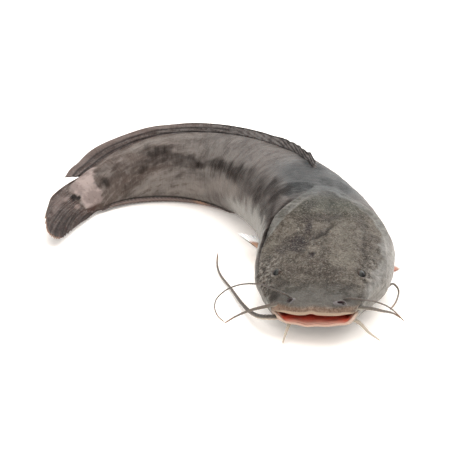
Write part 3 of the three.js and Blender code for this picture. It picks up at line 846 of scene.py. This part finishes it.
def collar_colour(paint, clouds, threads):
    """The light skin behind the skull."""
    slope = paint.slope
    return paint.over(
        paint.blend("6A675F", "93908A", slope(clouds, 0.42, 0.58)),
        ("B0ADA5", slope(threads, 0.52, 0.62, 0, 0.5)), ("554F47", slope(threads, 0.47, 0.38, 0, 0.5)),
    )


def snout_colour(paint, patches, grain):
    """The smoother grey skin above the mouth, lightest in front."""
    slope = paint.slope
    return paint.over(
        paint.blend("55524B", "7D7972", slope(patches, 0.42, 0.58)),
        ("9A948C", slope(paint.field("at"), 17, 9, 0, 0.55)),
        ("A09A92", slope(grain, 0.52, 0.66, 0, 0.4)), ("46413B", slope(grain, 0.47, 0.36, 0, 0.4)),
    )


def skin_paint():
    """The skin of head and body: the colours of its regions, with marks over them."""
    paint = Paint("skin", Specular_IOR_Level=0.1, Subsurface_Weight=0.03, Subsurface_Scale=0.002)
    field, part, slope, blend, mul = paint.field, paint.part, paint.slope, paint.blend, paint.mul
    clouds, patches = paint.noise(14, 4, 0.6), paint.noise(5, 3, 0.6)
    grain, fine = paint.noise(1.1, 4, 0.85), paint.noise(0.6, 2, 0.6)
    streaks = paint.noise(3.0, 3, 0.6, paint.plane(1, 0.12))
    threads = paint.noise(0.9, 3, 0.6, paint.plane(1, 0.14))
    strokes = paint.noise(3.5, 4, 0.65, paint.plane(0.3, 1))
    rear = slope(field("at"), 240, 300)
    flank = flank_colour(paint, clouds, patches, streaks, threads, strokes, rear)
    lumps, specks = paint.noise(3, 4, 0.7), paint.noise(1.9, 4, 0.75)
    crown = crown_colour(paint, grain, specks)
    cheek = cheek_colour(paint, lumps, grain)
    collar = collar_colour(paint, clouds, threads)
    snout = snout_colour(paint, patches, grain)
    lip = blend("705848", "AE9480", slope(grain, 0.34, 0.66))
    hue = paint.over(
        blend(flank, cheek, field("head")),
        (crown, field("skull")),
        (cheek, part("cheek", 0.8)),
        (collar, part("collar", 0.85)),
        ("ADAAA2", part("ridge", slope(clouds, 0.42, 0.58, 0.1, 0.6))),
        (snout, part("snout", 0.85)),
        # the blue-grey of the nape, its sheen painted into the colour
        (blend("5F6465", "808181", threads), part("blue_grey_and_sheen", 0.75)),
        # dark patches of the nape, with painted shadow on the shoulder
        ("333434", part("neck", slope(threads, 0.6, 0.42, 0.55, 0.95))),
        # the pale underside, dark marks with painted shadow and shade among them, the bare patch of the tail
        # and painted shade in the furrows
        (blend("9D9992", "D2CEC7", threads), part("pale", 0.9)),
        ("776F66", part("freckled", slope(lumps, 0.53, 0.42, 0, 0.4))),
        ("EDE8E0", part("bright", slope(lumps, 0.44, 0.56, 0.5, 0.95))),
        # the dark band and spots, with painted shadow on the shoulder and painted shade at the foot of the
        # gill opening
        ("231811", part("dark", slope(streaks, 0.64, 0.36, 0.7, 0.95))),
        (blend("AC9992", "CFBBB3", slope(clouds, 0.38, 0.52)), part("stump", 0.95)),
        ("7A645A", part("stump", slope(lumps, 0.42, 0.34, 0, 0.5))),
        ("4E2E27", part("red", 0.7)),
        # painted shade in the gill opening and furrows, a painted shadow by the belly fin's edge, and the
        # tail's dark spots
        ("1B1511", part("crease", 0.9)),
        # lips, eyelids, painted shade round the eyeballs and painted shade in the nostrils
        (lip, field("lip")),
        (blend("B98E78", "D6B8A2", patches), part("corner", slope(patches, 0.4, 0.6, 0.3, 0.75))),
        (blend("C2A58C", "DCC6AE", grain), field("cream")),
        (blend("EBC6B0", "F8E2D0", grain), part("cream", field("under"))),
        ("FFBEA6", part("inner", 0.9)),
        # painted shade in the crevice round each eyeball
        ("3A332C", part("socket", 0.75)),
        ("ADA59D", part("eyelid", 0.7)),
        # painted shade at the bottom of each nostril's bore
        ("2A1A1C", field("nostril")),
    )
    paint.feed(paint.shader.inputs["Roughness"], slope(patches, 0.3, 0.7, 0.34, 0.5))
    relief = mul(slope(grain, 0.42, 0.62), slope(field("skull"), 0, 1, 0.4, 1))
    relief = paint.math("ADD", relief, mul(streaks, slope(rear, 0, 1, 0.9, 0.4)))
    relief = paint.math("ADD", relief, mul(fine, 0.25))
    return paint.made(hue, relief, 0.32)


def mouth_paint():
    """Pink at the lips, red further in, darkening deep in and on the roof as painted shade."""
    paint = Paint("mouth", Roughness=0.3, Specular_IOR_Level=0.4, Coat_Weight=0.2, Coat_Roughness=0.15,
                  Subsurface_Weight=0.1, Subsurface_Scale=0.003)
    lumps = paint.noise(3, 3, 0.6)
    depth, slope = paint.field("depth"), paint.slope
    # the floor of the mouth: pink to red, then painted shade darkening it towards the throat
    low = paint.over(
        "FFCDB6",
        ("FFA48C", slope(depth, 3.6, 6)), ("FC6A50", slope(depth, 5.5, 8.5)),
        ("F0432C", slope(depth, 8.5, 13)), ("9A2614", slope(depth, 14, 21)), ("4A0E08", slope(depth, 21, 29)),
    )
    # the roof under the upper lip, darker than the floor: painted shade
    shaded_roof = paint.blend("B0503C", "4A140C", slope(depth, 4, 14))
    hue = paint.over(
        paint.blend(shaded_roof, low, paint.field("floor")),
        ("F7B79F", slope(lumps, 0.6, 0.75, 0, 0.3)), ("F2C3A8", paint.field("corner")),
    )
    return paint.made(hue, lumps, 0.4)


def fin_paint():
    """All the fins: grey brown between light rays, with red, pale and fleshy parts."""
    paint = Paint("fin", Roughness=0.46, Specular_IOR_Level=0.1, Subsurface_Weight=0.05,
                  Subsurface_Scale=0.002)
    field, part, slope = paint.field, paint.part, paint.slope
    cloud, fleck = paint.noise(7, 4, 0.6), paint.noise(1.3, 3, 0.65)
    ray = paint.math("ADD", field("ray"), slope(fleck, 0.35, 0.65, -0.25, 0.25))
    hue = paint.over(
        paint.blend("68605C", "8B8480", slope(cloud, 0.4, 0.6)),
        ("583F35", part("red", 0.85)),
        ("2B2220", slope(ray, 0.45, 0.05, 0, 0.6)), ("A39A95", slope(ray, 0.6, 1.1, 0, 0.5)),
        # dark marks of the fins, among them painted shade towards the belly fin's root
        ("140D0B", part("dark", 0.9)),
        (paint.blend("94807A", "B09C94", cloud), field("pale")),
        ("E3B294", field("flesh")), ("D9827A", part("rose", 0.8)),
        ((0.92, 0.9, 0.88, 1), field("clear")),
        ("9B9089", slope(fleck, 0.6, 0.72, 0, 0.25)),
    )
    return paint.made(hue, paint.math("ADD", field("ray"), fleck), 0.3)


def barbel_paint():
    """Cream to grey brown, after the tone of each feeler."""
    paint = Paint("barbel", Roughness=0.42, Specular_IOR_Level=0.3, Subsurface_Weight=0.1,
                  Subsurface_Scale=0.002)
    along, rings, slope = paint.field("along"), paint.noise(0.9, 2, 0.5), paint.slope
    cream = paint.blend("E6D6BE", "FBEFDC", rings)
    brown = paint.over(
        paint.blend("524A43", "72665C", slope(along, 0, 0.75)),
        ("A88468", slope(along, 0.8, 1)), ("948779", slope(rings, 0.52, 0.7, 0, 0.45)),
    )
    return paint.made(paint.blend(cream, brown, paint.field("tone")), rings, 0.15)


def eye_paint():
    """A black pupil in a dark olive iris, by the angle from where the eye looks."""
    paint = Paint("eye", Roughness=0.3, Specular_IOR_Level=0.2, Coat_Weight=0.1, Coat_Roughness=0.1)
    polar, slope = paint.field("polar"), paint.slope
    iris = paint.blend("1E1F1C", "50514B", paint.noise(0.5, 2, 0.5))
    hue = paint.over("0E0D0C", (iris, slope(polar, 0.5, 0.66)), ("4E3D34", slope(polar, 1.05, 1.3)))
    return paint.made(hue)


def nostril_paint():
    """The greyish rim of a nostril round its bore, painted dark as shade."""
    paint = Paint("nostril", Roughness=0.42, Specular_IOR_Level=0.3, Coat_Weight=0.1, Coat_Roughness=0.25)
    grain = paint.noise(1.2, 2, 0.6)
    hue = paint.blend(paint.blend("6A6462", "8D8584", grain), "4A3438", paint.field("hole"))
    return paint.made(hue, grain, 0.2)


# ---- head and body
SKIN_SIDES = 224
# The lining of the mouth: rings and sides of its mesh, the ring of the skin where it ends, and how far it
# stands proud of the skin inside and at that end.
LINING = {"rings": 56, "sides": 160, "last": 4.0, "inside": 0.35, "end": -0.3}
# The floor of the mouth, which swells up behind the lower lip, as (at, z).
MOUTH_FLOOR = [(3.2, 13.5), (4.5, 13.8), (7, 14.2), (10, 14.6), (15, 14.9), (22, 15.2), (33, 14.6), (42, 13)]


def skin(material):
    """The skin of head and body, from the back of the mouth to the tail."""
    rings, angles, at, x, z, girth = skin_grid(SKIN_SIDES)
    ring = rings[:, None] + 0 * at
    angle = angles[None, :] + 0 * at
    x = slimmer_cheeks(at, x, z)
    z = shaped_lips(rings, x, z)
    place = bend(at, x, z)
    relief = skin_relief(ring, at, girth, place)
    fields = skin_fields(ring, angle, at, x, z, girth, place)
    place = place + grid_normals(place) * relief[..., None]
    place[..., 2] = np.maximum(place[..., 2], 0)
    piece = loft("skin", place, {"at": at, "girth": girth, **fields})
    return finish_piece(piece, material)


def mouth(material):
    """The lining of the mouth, just proud of the skin and tucked into it at the lips."""
    count, sides, last, inside, end = LINING.values()
    rings = np.linspace(0, last, count)
    angles = round_angles(sides)
    at, x, z = skin_point(rings[:, None], angles[None, :])
    half = RING_AT(rings)[:, 0, None]
    x = slimmer_cheeks(at, x, z)
    z = shaped_lips(rings, x, z)
    below = ramp(0.1, -0.25, np.sin(angles))[None, :]
    swell = along_line(at, MOUTH_FLOOR) + lip_wave(x) * ramp(10, 4, at) - z
    z = z + np.maximum(0, swell) * below * ramp(1, 0.6, abs(x) / half)
    place = bend(at, x, z)
    proud = mix(inside, end, ramp(last - 1.2, last, rings))[:, None]
    place = place + grid_normals(place) * (proud + 0.25 * wobble(place, 4, 2))[..., None]
    fields = {"depth": at, "floor": below + 0 * at, "corner": ramp(LIPS_MEET - 4, LIPS_MEET, abs(x))}
    piece = loft("mouth", place, fields, (True, False), lining=True)
    return finish_piece(piece, material)


def eye(name, side, material, columns=40, rows=28):
    """An eyeball looking out of its socket, its clear front a little swollen."""
    centre = bend(EYE["at"], side * EYE["x"], EYE["z"])
    ahead, out, up = EYE["gaze"]
    gaze = unit(bend(EYE["at"] + ahead, side * (EYE["x"] + out), EYE["z"] + up) - centre)
    across, over = cross_axes(gaze, (0, 0, 1))
    polar = np.linspace(0.05, np.pi - 0.05, rows)[:, None]
    radius = EYE["radius"] * (1 + 0.07 * bell(polar / 0.55))
    middles = centre + gaze * EYE["narrow"] * np.cos(polar) * radius
    rings = tube(middles, across, over * EYE["tall"], (np.sin(polar) * radius)[..., None], columns)
    return finish_piece(loft(name, rings, {"polar": polar}), material)


# ---- fins
# How finely each fin is divided along its length, and from root to edge.
FIN_GRIDS = {"back": (460, 20), "belly": (340, 14), "tail": (280, 60), "chest": (90, 48), "pelvic": (60, 24)}


def fin(name, material, point, thickness, fields, axis="x"):
    """A thin closed sheet from its root (v = 0) to its edge (v = 1), along its length u."""
    columns, rows = FIN_GRIDS[name.split("_")[0]]
    up = np.linspace(0, 1, rows + 1)
    u, v = np.meshgrid(np.linspace(0, 1, columns + 1), np.concatenate([up, up[::-1]]), indexing="ij")
    sign = np.where(np.arange(2 * rows + 2) <= rows, 0.5, -0.5)[None, :]
    local = dict(zip(("at", "x", "z"), point(u, v)))
    thick = thickness(u, v)
    local[axis] = local[axis] + sign * thick
    place = bend(local["at"], local["x"], local["z"])
    place[..., 2] = np.maximum(place[..., 2], FLOOR_GAP + thick / 2 + sign * thick)
    shown = dict.fromkeys(("ray", "dark", "red", "pale", "flesh", "rose", "clear"), 0)
    shown.update(fields(u, v, local["at"], local["z"]))
    grids = {key: np.clip(value, 0, 1) + 0 * u for key, value in shown.items()}
    return finish_piece(loft(name, place, grids), material)


BACK_FIN = {"root": 2.5, "lean": 0.15, "waves": 9, "wave": 0.6}
# Its rays: where the root is, how high it rises, how far it leans back for each mm of that.
BACK_FIN_RAYS = [
    (146, 2.6, 1.1), (156, 5.8, 1.1), (190, 6.6, 1.1), (210, 5.8, 1.1), (245, 6.4, 1.1), (275, 7.6, 1.1),
    (297, 7.4, 1.1), (317, 7.6, 1.1), (330, 8, 1.1), (342, 7, 1.1), (347, 6.2, 1.6), (350, 4.8, 2.3),
    (352, 3.6, 3.3),
]


def back_fin(material):
    """The long back fin lies half folded, its rays nearly along the back, and ends in a free point."""
    root, lean, waves, wave = BACK_FIN.values()
    ray = curve_through(BACK_FIN_RAYS)

    def fold(u, v):
        return CIRCLE * (3.3 * v - 26 * u + 10.5 * u * u + 0.3 * np.sin(21 * u))

    def point(u, v):
        base = mix(BACK_FIN_RAYS[0][0], BACK_FIN_RAYS[-1][0], u)
        rise, slant = np.moveaxis(ray(base), -1, 0)
        rise = rise * (1 - 0.22 * abs(np.sin(np.pi * 24 * u)) * ramp(0.3, 0.12, u))
        pleat = mix(0.7, 0.28, ramp(0.1, 0.35, u)) * np.sin(np.pi * np.minimum(1, v + 0.12))
        sway = wave * v * np.sin(u * waves * CIRCLE) + lean * rise * v * v
        x = sway + pleat * np.sin(fold(u, v))
        return base + slant * rise * v, x, back_z(base) - root + (rise + root) * v

    def fields(u, v, at, z):
        seams = np.maximum(bell((v - 0.3) / 0.06), 0.9 * bell((v - 0.62) / 0.06) * ramp(0.4, 0.6, u))
        torn = abs(np.sin(37 * u + 3 * np.sin(11 * u)))
        strands = ramp(0.3, -0.5, np.sin(fold(u, v))) * mix(1, 0.1, ramp(0.16, 0.32, u)) * mix(0.6, 1, torn)
        outer = 0.35 * ramp(0.6, 0.8, v) * ramp(0.5, 0.7, u)
        edge = 0.9 * ramp(0.84, 0.95, v) * ramp(0.8, 0.6, u)
        return {"ray": 0.5 + 0.5 * np.sin(fold(u, v)) * mix(1, 0.5, ramp(0.2, 0.35, u)),
                "dark": np.maximum.reduce([seams, strands, edge]), "red": 0.6 * ramp(0.55, 0.85, u),
                "pale": outer}

    return fin("back_fin", material, point, lambda u, v: mix(3.0, 0.7, v), fields)


def belly_fin(material):
    """The belly fin, rooted along the lower edge behind the vent and folded up on the right side."""
    start, end, spread, tuck, slant, sunk, proud = BELLY_FIN.values()

    def point(u, v):
        at = mix(start, end, u) + slant * v
        opened = np.minimum(1, 6 * u + 0.3) * np.minimum(1, 8 * (1 - u) + 0.4)
        opened = opened * (1 - 0.05 * abs(np.sin(np.pi * 34 * u)) * v)
        ring = ring_of_side(at)
        _, x, z = skin_point(ring, np.radians(tuck - 90 - (spread + tuck) * opened * v))
        side_z = RING_AT(ring)[..., 2]
        out = np.hypot(x, z - side_z)
        grow = 1 + (mix(-sunk, proud, v) + 0.1 * np.sin(CIRCLE * 40 * u)) / out
        return at, x * grow, side_z + (z - side_z) * grow

    def fields(u, v, at, z):
        return {"ray": 0.5 + 0.5 * np.sin(CIRCLE * (40 * u - 1.5 * v)),
                # painted shade towards the root by the ground, and a dark rim along the free edge
                "dark": np.maximum(0.3 * ramp(0.5, 0.35, v), 0.6 * ramp(0.95, 1, v)),
                "pale": bell((v - 0.72) / 0.26), "flesh": 0.6 * bell((u - 0.3) / 0.05) * ramp(0.4, 0.6, v)}

    return fin("belly_fin", material, point, lambda u, v: mix(2.4, 0.9, v), fields, "z")


TAIL_FIN = {"root": TAIL_BASE - 4, "waves": 9, "wave": 0.5}
# Its rays: -1 for the lowest to 1 for the highest, the height of the root, where it ends: at, z.
TAIL_FIN_RAYS = [
    (-1, 6, TOTAL_LENGTH - 52, 4.3), (-0.6, 10.5, TOTAL_LENGTH - 26, 8.4),
    (-0.3, 14.5, TOTAL_LENGTH - 8, 13.9), (-0.05, 18.5, TOTAL_LENGTH, 18.8),
    (0.25, 22.5, TOTAL_LENGTH - 7, 23.2), (0.5, 26.2, TOTAL_LENGTH - 17.5, 27.6),
    (0.75, 30.5, TOTAL_LENGTH - 30, 31.6), (1, 35.6, TOTAL_LENGTH - 48, 34.8),
]


def tail_fin(material):
    """The tail fin is a rounded paddle of stiff rays, frayed at its edge."""
    root, waves, wave = TAIL_FIN.values()
    ray = curve_through(TAIL_FIN_RAYS)

    def ribs(u, v):
        side = 2 * u - 1
        drift = flat_wobble(side, 0.35 * v, 0.3, 3, 1.3)
        return CIRCLE * (7.5 * side * (1 + 0.06 * v) + 1.6 * drift)

    def point(u, v):
        side = 2 * u - 1
        root_z, end_at, end_z = np.moveaxis(ray(side), -1, 0)
        torn = abs(2 * np.mod(side * 12.5 + 0.2 * np.sin(17 * side), 1) - 1)
        reach = v * (1 - 0.045 * torn * (1 + 0.7 * np.sin(11 * side + 1)) * v ** 6)
        x = wave * v * np.sin(waves * side) + 0.13 * v * np.sin(ribs(u, v))
        return mix(root, end_at, reach), x, mix(root_z, end_z, reach)

    def fields(u, v, at, z):
        side = 2 * u - 1
        marks = {key: spots(at, z, rows) for key, rows in TAIL_SPOTS.items()}
        edge = ramp(0.95, 1, v) * ramp(-0.35, 0, side)
        marks["pale"] = np.maximum(marks["pale"], tail_patch(at, z)) * (1 - np.clip(marks["dark"], 0, 1))
        streak = ramp(-0.1, 0.5, flat_wobble(9 * side, 1.2 * v, 1, 3, 4.4))
        streak = (0.35 + 0.5 * streak) * ramp(0.3, 0.6, v) * ramp(0.9, 0.1, side)
        marks["dark"] = np.maximum(marks["dark"], streak)
        marks["red"] = np.maximum(marks["red"], 0.7)
        return {"ray": 0.5 + 0.32 * np.sin(ribs(u, v)), "flesh": 0.55 * edge, **marks}

    def thickness(u, v):
        side = 2 * u - 1
        swell = 1 + 0.12 * np.sin(ribs(u, v))
        return mix(4.4, 0.6, np.minimum(1, 1.6 * v)) * mix(1, 0.7, abs(side)) * swell

    return fin("tail_fin", material, point, thickness, fields)


CHEST_FIN = {"at": 96, "x": 30, "z": 7, "width": 9, "fan": 20, "drop": 2.5, "bow": 2}
CHEST_FIN_POSES = {
    "chest_fin_right": {"side": -1, "sweep": 9.4, "length": 63.5, "rose": 0, "clear": 0.7},
    "chest_fin_left": {"side": 1, "sweep": 73.5, "length": 28.5, "rose": 1, "clear": 0.95},
}


def chest_fin(name, material, side, sweep, length, rose, clear):
    """A chest fin: a stout toothed spine along its front edge and a soft fan behind it. rose is how pink
    it is, and clear where its clear tip starts."""
    at, x, z, width, fan, drop, bow = CHEST_FIN.values()

    def point(u, v):
        teeth = 0.25 * abs(np.sin(np.pi * 16 * v)) * ramp(0.12, 0, u)
        angle = np.radians(sweep - fan * u)
        reach = length * (1 - 0.3 * u ** 1.5) * v
        swell = bow * np.sin(np.pi * v) * (1 - u) - teeth
        ripple = 0.25 * v * np.sin(CIRCLE * 8 * u)
        return (at + width * u + np.cos(angle) * reach - np.sin(angle) * swell,
                side * (x + np.sin(angle) * reach + np.cos(angle) * swell), z - drop * v + ripple)

    def fields(u, v, at, z):
        return {"ray": 0.5 + 0.5 * np.sin(CIRCLE * 8 * u), "flesh": ramp(0.2, 0.45, v),
                "rose": rose * ramp(0.95, 0.7, v), "clear": ramp(clear - 0.1, clear + 0.05, v + 0.1 * u)}

    def thickness(u, v):
        rounded = mix(0.2, 1, np.sqrt(np.minimum(1, np.minimum(u, 1 - u) / 0.1)))
        return mix(4, 0.8, v) * mix(1, 0.5, np.minimum(1, 3 * u)) * rounded

    return fin(name, material, point, thickness, fields, "z")


PELVIC_FIN = {"at": 184, "x": 5, "z": 3, "length": 22, "root_half": 2.5, "half": 6}


def pelvic_fin(name, material, side):
    """A pelvic fin, a small paddle folded flat under the belly."""
    at, x, z, length, root_half, half = PELVIC_FIN.values()

    def point(u, v):
        out = 2 * u - 1
        return (at + v * length * (1 - 0.3 * out ** 2), side * (x + out * mix(root_half, half, v) + 3 * v),
                z - 2 * v + 0.15 * v * np.sin(CIRCLE * 6 * u))

    def fields(u, v, at, z):
        return {"ray": 0.5 + 0.5 * np.sin(CIRCLE * 6 * u), "pale": 0.6, "flesh": 0.4 * ramp(0.7, 1, v)}

    return fin(name, material, point, lambda u, v: mix(3, 0.7, v), fields, "z")


# ---- barbels and nostrils
# The eight feelers, as in the part: the radii of root and tip, how dark the feeler is, and its
# route as (x, y, z) from the spot on the ground below the snout.
BARBELS = {
    "barbel_lip_right": (2.0, 0.4, 0.95, [
        (-7, 16, 20), (-16, 14, 20.5), (-24, 15, 18.5), (-34, 19, 14), (-43, 25, 7), (-49, 27, 2)]),
    "barbel_lip_left": (2.0, 0.45, 0.95, [
        (13, 13, 20), (21, 11, 19.5), (31, 15, 17), (40, 22, 12), (48, 29, 7), (53, 31, 3)]),
    "barbel_nose_right": (0.75, 0.35, 1.0, [
        (-11, 13, 23), (-15, 13, 26), (-21, 17, 27), (-28, 27, 26), (-32, 35, 23), (-37, 44, 19),
        (-43, 50, 15), (-49, 52, 11), (-54, 49, 7), (-55, 44, 4), (-53, 36, 2), (-49, 30, 1)]),
    "barbel_nose_left": (0.75, 0.35, 1.0, [
        (13, 10, 23), (18, 8, 26), (26, 9, 25), (35, 17, 20), (44, 25, 13), (49, 28, 8), (54, 27, 3)]),
    "barbel_outer_right": (2.0, 0.45, 1.0, [
        (-13, 25, 9), (-17, 18, 10.5), (-23, 17, 10.5), (-29, 23, 8), (-34, 35, 5), (-39, 52, 3),
        (-45, 75, 2), (-52, 100, 1.2), (-54, 115, 1.2), (-54, 137, 1)]),
    "barbel_outer_left": (1.6, 0.4, 0.9, [
        (29, 33, 9), (35, 39, 8.5), (41, 48, 8), (49, 61, 9), (54, 67, 9), (57, 66, 6), (54, 54, 3.5),
        (49, 45, 2)]),
    "barbel_inner_right": (2.2, 0.4, 0.02, [
        (-11, 23, 8), (-12.5, 16, 8), (-14, 12, 6.5), (-15.5, 9, 3.5), (-17, 4, 1)]),
    "barbel_inner_left": (2.0, 0.4, 0.05, [
        (19, 23, 8), (23, 19, 8.5), (27.5, 16, 6.5), (31.5, 12.5, 3.2), (37, 7, 1)]),
}


def smooth_route(points, steps_each=40):
    """A centripetal Catmull-Rom curve through points, which keeps its corners from looping."""
    points = np.array(points, float)
    points = np.vstack([2 * points[0] - points[1], points, 2 * points[-1] - points[-2]])
    knots = np.concatenate([[0], np.cumsum(np.linalg.norm(np.diff(points, axis=0), axis=1) ** 0.5)])
    out = []
    for i in range(1, len(points) - 2):
        before, start, end, after = knots[i - 1:i + 3]
        t = np.linspace(start, end, steps_each, endpoint=False)[:, None]
        lines = [mix(points[k], points[k + 1], (t - knots[k]) / (knots[k + 1] - knots[k]))
                 for k in (i - 1, i, i + 1)]
        first = mix(lines[0], lines[1], (t - before) / (end - before))
        second = mix(lines[1], lines[2], (t - start) / (after - start))
        out.append(mix(first, second, (t - start) / (end - start)))
    return np.vstack([*out, points[-2:-1]])


def barbel(name, material, root, tip, tone, route, step=0.8, sides=14):
    """A tapering feeler with a swollen root."""
    line = smooth_route(route)
    run = np.concatenate([[0], np.cumsum(np.linalg.norm(np.diff(line, axis=0), axis=1))])
    marks = np.linspace(0, run[-1], int(run[-1] / step) + 1)
    along = marks / run[-1]
    middles = np.stack([np.interp(marks, run, line[:, k]) for k in range(3)], 1) + (*SNOUT, 0)
    across, over = cross_axes(unit(np.gradient(middles, axis=0)), (0, 0, 1))
    radius = mix(root, tip, along ** 0.5) * (1 + 0.05 * np.sin(marks * 2.1) * ramp(0, 0.1, along))
    radius = radius * (1 - 0.5 * ramp(0.97, 1, along))
    rings = tube(middles, across, over, radius[:, None, None], sides)
    rings[..., 2] = np.maximum(rings[..., 2], 0)
    below = ramp(0.2, -0.6, np.sin(round_angles(sides)))[None, :]
    cream_below = below * ramp(0.45, 0.1, along)[:, None] * (root > 1)
    fields = {"along": along[:, None], "tone": tone * (1 - 0.9 * cream_below)}
    return finish_piece(loft(name, rings, fields), material)


# The rings of a nostril's tube, from its foot over its rim into the bore: radius, height.
NOSTRIL_RINGS = [
    (2.8, -0.9), (2.4, 0.0), (2.05, 0.4), (1.8, 0.6), (1.6, 0.55), (1.45, 0.2), (1.3, -0.4), (0.9, -1.1),
]
NOSTRIL_FLATNESS = 0.8


def nostril(name, material, at, x, z, stretch, sides=36):
    """A short open tube of skin with a bore painted dark as shade, wider across than along by stretch."""
    centre = bend(at, x, z)
    out = unit(bend(at - 1.2, x * 1.06, z + 2.2) - centre)
    across, over = cross_axes(out, (0, 1, 0))
    radii, rises = np.transpose(NOSTRIL_RINGS)[..., None]
    lumps = 1 + 0.1 * np.sin(3 * round_angles(sides) + x)
    widths = (radii * lumps)[..., None]
    rings = tube(centre + out * rises, stretch * across, over * NOSTRIL_FLATNESS, widths, sides)
    return finish_piece(loft(name, rings, {"hole": ramp(1.75, 1.5, radii)}), material)


# ---- the studio
# The floor: half its width and how far it lies below the fish, in metres.
FLOOR_HALF = 6.0
FLOOR_DROP = 0.0002
# Soft rectangular lights: where they are and aim at, width and height in metres, power in watts.
SOFTBOXES = {
    "overhead": ((0.1, 0.2, 1.5), (0, 0, 0), 1.8, 1.6, 20),
    "right_back": ((1.1, 0.9, 0.9), (0, 0, 0.02), 1.2, 1.0, 15),
    "front_left": ((-0.8, -1.3, 0.9), (0, 0, 0.02), 1.2, 0.9, 6),
}
SKY_STRENGTH = 1.05
# The camera of the photograph, 65 cm from the middle of the fish and looking 20 degrees down: its place
# and its range in metres, its tilt from straight down in degrees, sensor and lens in millimetres.
CAMERA = {"place": (0.0064, -0.60315, 0.2394), "tilt": 70, "sensor": 36, "lens": 75.2, "clip": (0.01, 50)}


def floor():
    """A large pale floor, a little below the skin that touches it."""
    mesh = bpy.data.meshes.new("floor")
    signs = ((-1, -1), (1, -1), (1, 1), (-1, 1))
    corners = [(x * FLOOR_HALF, y * FLOOR_HALF, -FLOOR_DROP) for x, y in signs]
    mesh.from_pydata(corners, [], [(0, 1, 2, 3)])
    paint = Paint("floor", Roughness=0.6, Specular_IOR_Level=0.2, Base_Color=(0.98, 0.93, 0.88, 1),
                  Emission_Color=(1, 0.94, 0.89, 1), Emission_Strength=0.15)
    mesh.materials.append(paint.material)
    placed("floor", mesh)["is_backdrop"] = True


def softbox(name, place, aim, width, height, watts):
    """A soft rectangular studio light."""
    lamp = bpy.data.lights.new(name, "AREA")
    lamp.shape = "RECTANGLE"
    lamp.size, lamp.size_y, lamp.energy = width, height, watts
    light = placed(name, lamp)
    light.location = place
    light.rotation_euler = (Vector(aim) - Vector(place)).to_track_quat("-Z", "Y").to_euler()


def studio():
    """The floor, the lights and an even white sky."""
    floor()
    for name, values in SOFTBOXES.items():
        softbox(name, *values)
    world = bpy.data.worlds.new("studio")
    world.use_nodes = True
    sky = world.node_tree.nodes["Background"]
    sky.inputs["Color"].default_value = (1, 1, 1, 1)
    sky.inputs["Strength"].default_value = SKY_STRENGTH
    bpy.context.scene.world = world
    bpy.context.scene.view_settings.view_transform = "Standard"


def camera():
    """The camera of the photograph."""
    lens = bpy.data.cameras.new("camera")
    lens.sensor_width, lens.lens = CAMERA["sensor"], CAMERA["lens"]
    lens.clip_start, lens.clip_end = CAMERA["clip"]
    view = placed("camera", lens)
    view.location = CAMERA["place"]
    view.rotation_euler = (np.radians(CAMERA["tilt"]), 0, 0)
    bpy.context.scene.camera = view


# ---- assembly
def fish():
    """All the pieces of the fish."""
    skin_material = skin_paint()
    fin_material = fin_paint()
    barbel_material = barbel_paint()
    eye_material = eye_paint()
    nostril_material = nostril_paint()
    skin(skin_material)
    mouth(mouth_paint())
    for name, side in (("eye_left", 1), ("eye_right", -1)):
        eye(name, side, eye_material)
    for name, place in NOSTRILS.items():
        nostril(name, nostril_material, **place)
    back_fin(fin_material)
    belly_fin(fin_material)
    tail_fin(fin_material)
    for name, pose in CHEST_FIN_POSES.items():
        chest_fin(name, fin_material, **pose)
    for name, side in (("pelvic_fin_left", 1), ("pelvic_fin_right", -1)):
        pelvic_fin(name, fin_material, side)
    for name, (root, tip, tone, route) in BARBELS.items():
        barbel(name, barbel_material, root, tip, tone, route)


fish()
studio()
camera()
bpy.context.view_layer.update()
[[list(corner) for corner in box] for box in (CAD_BOX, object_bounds())]
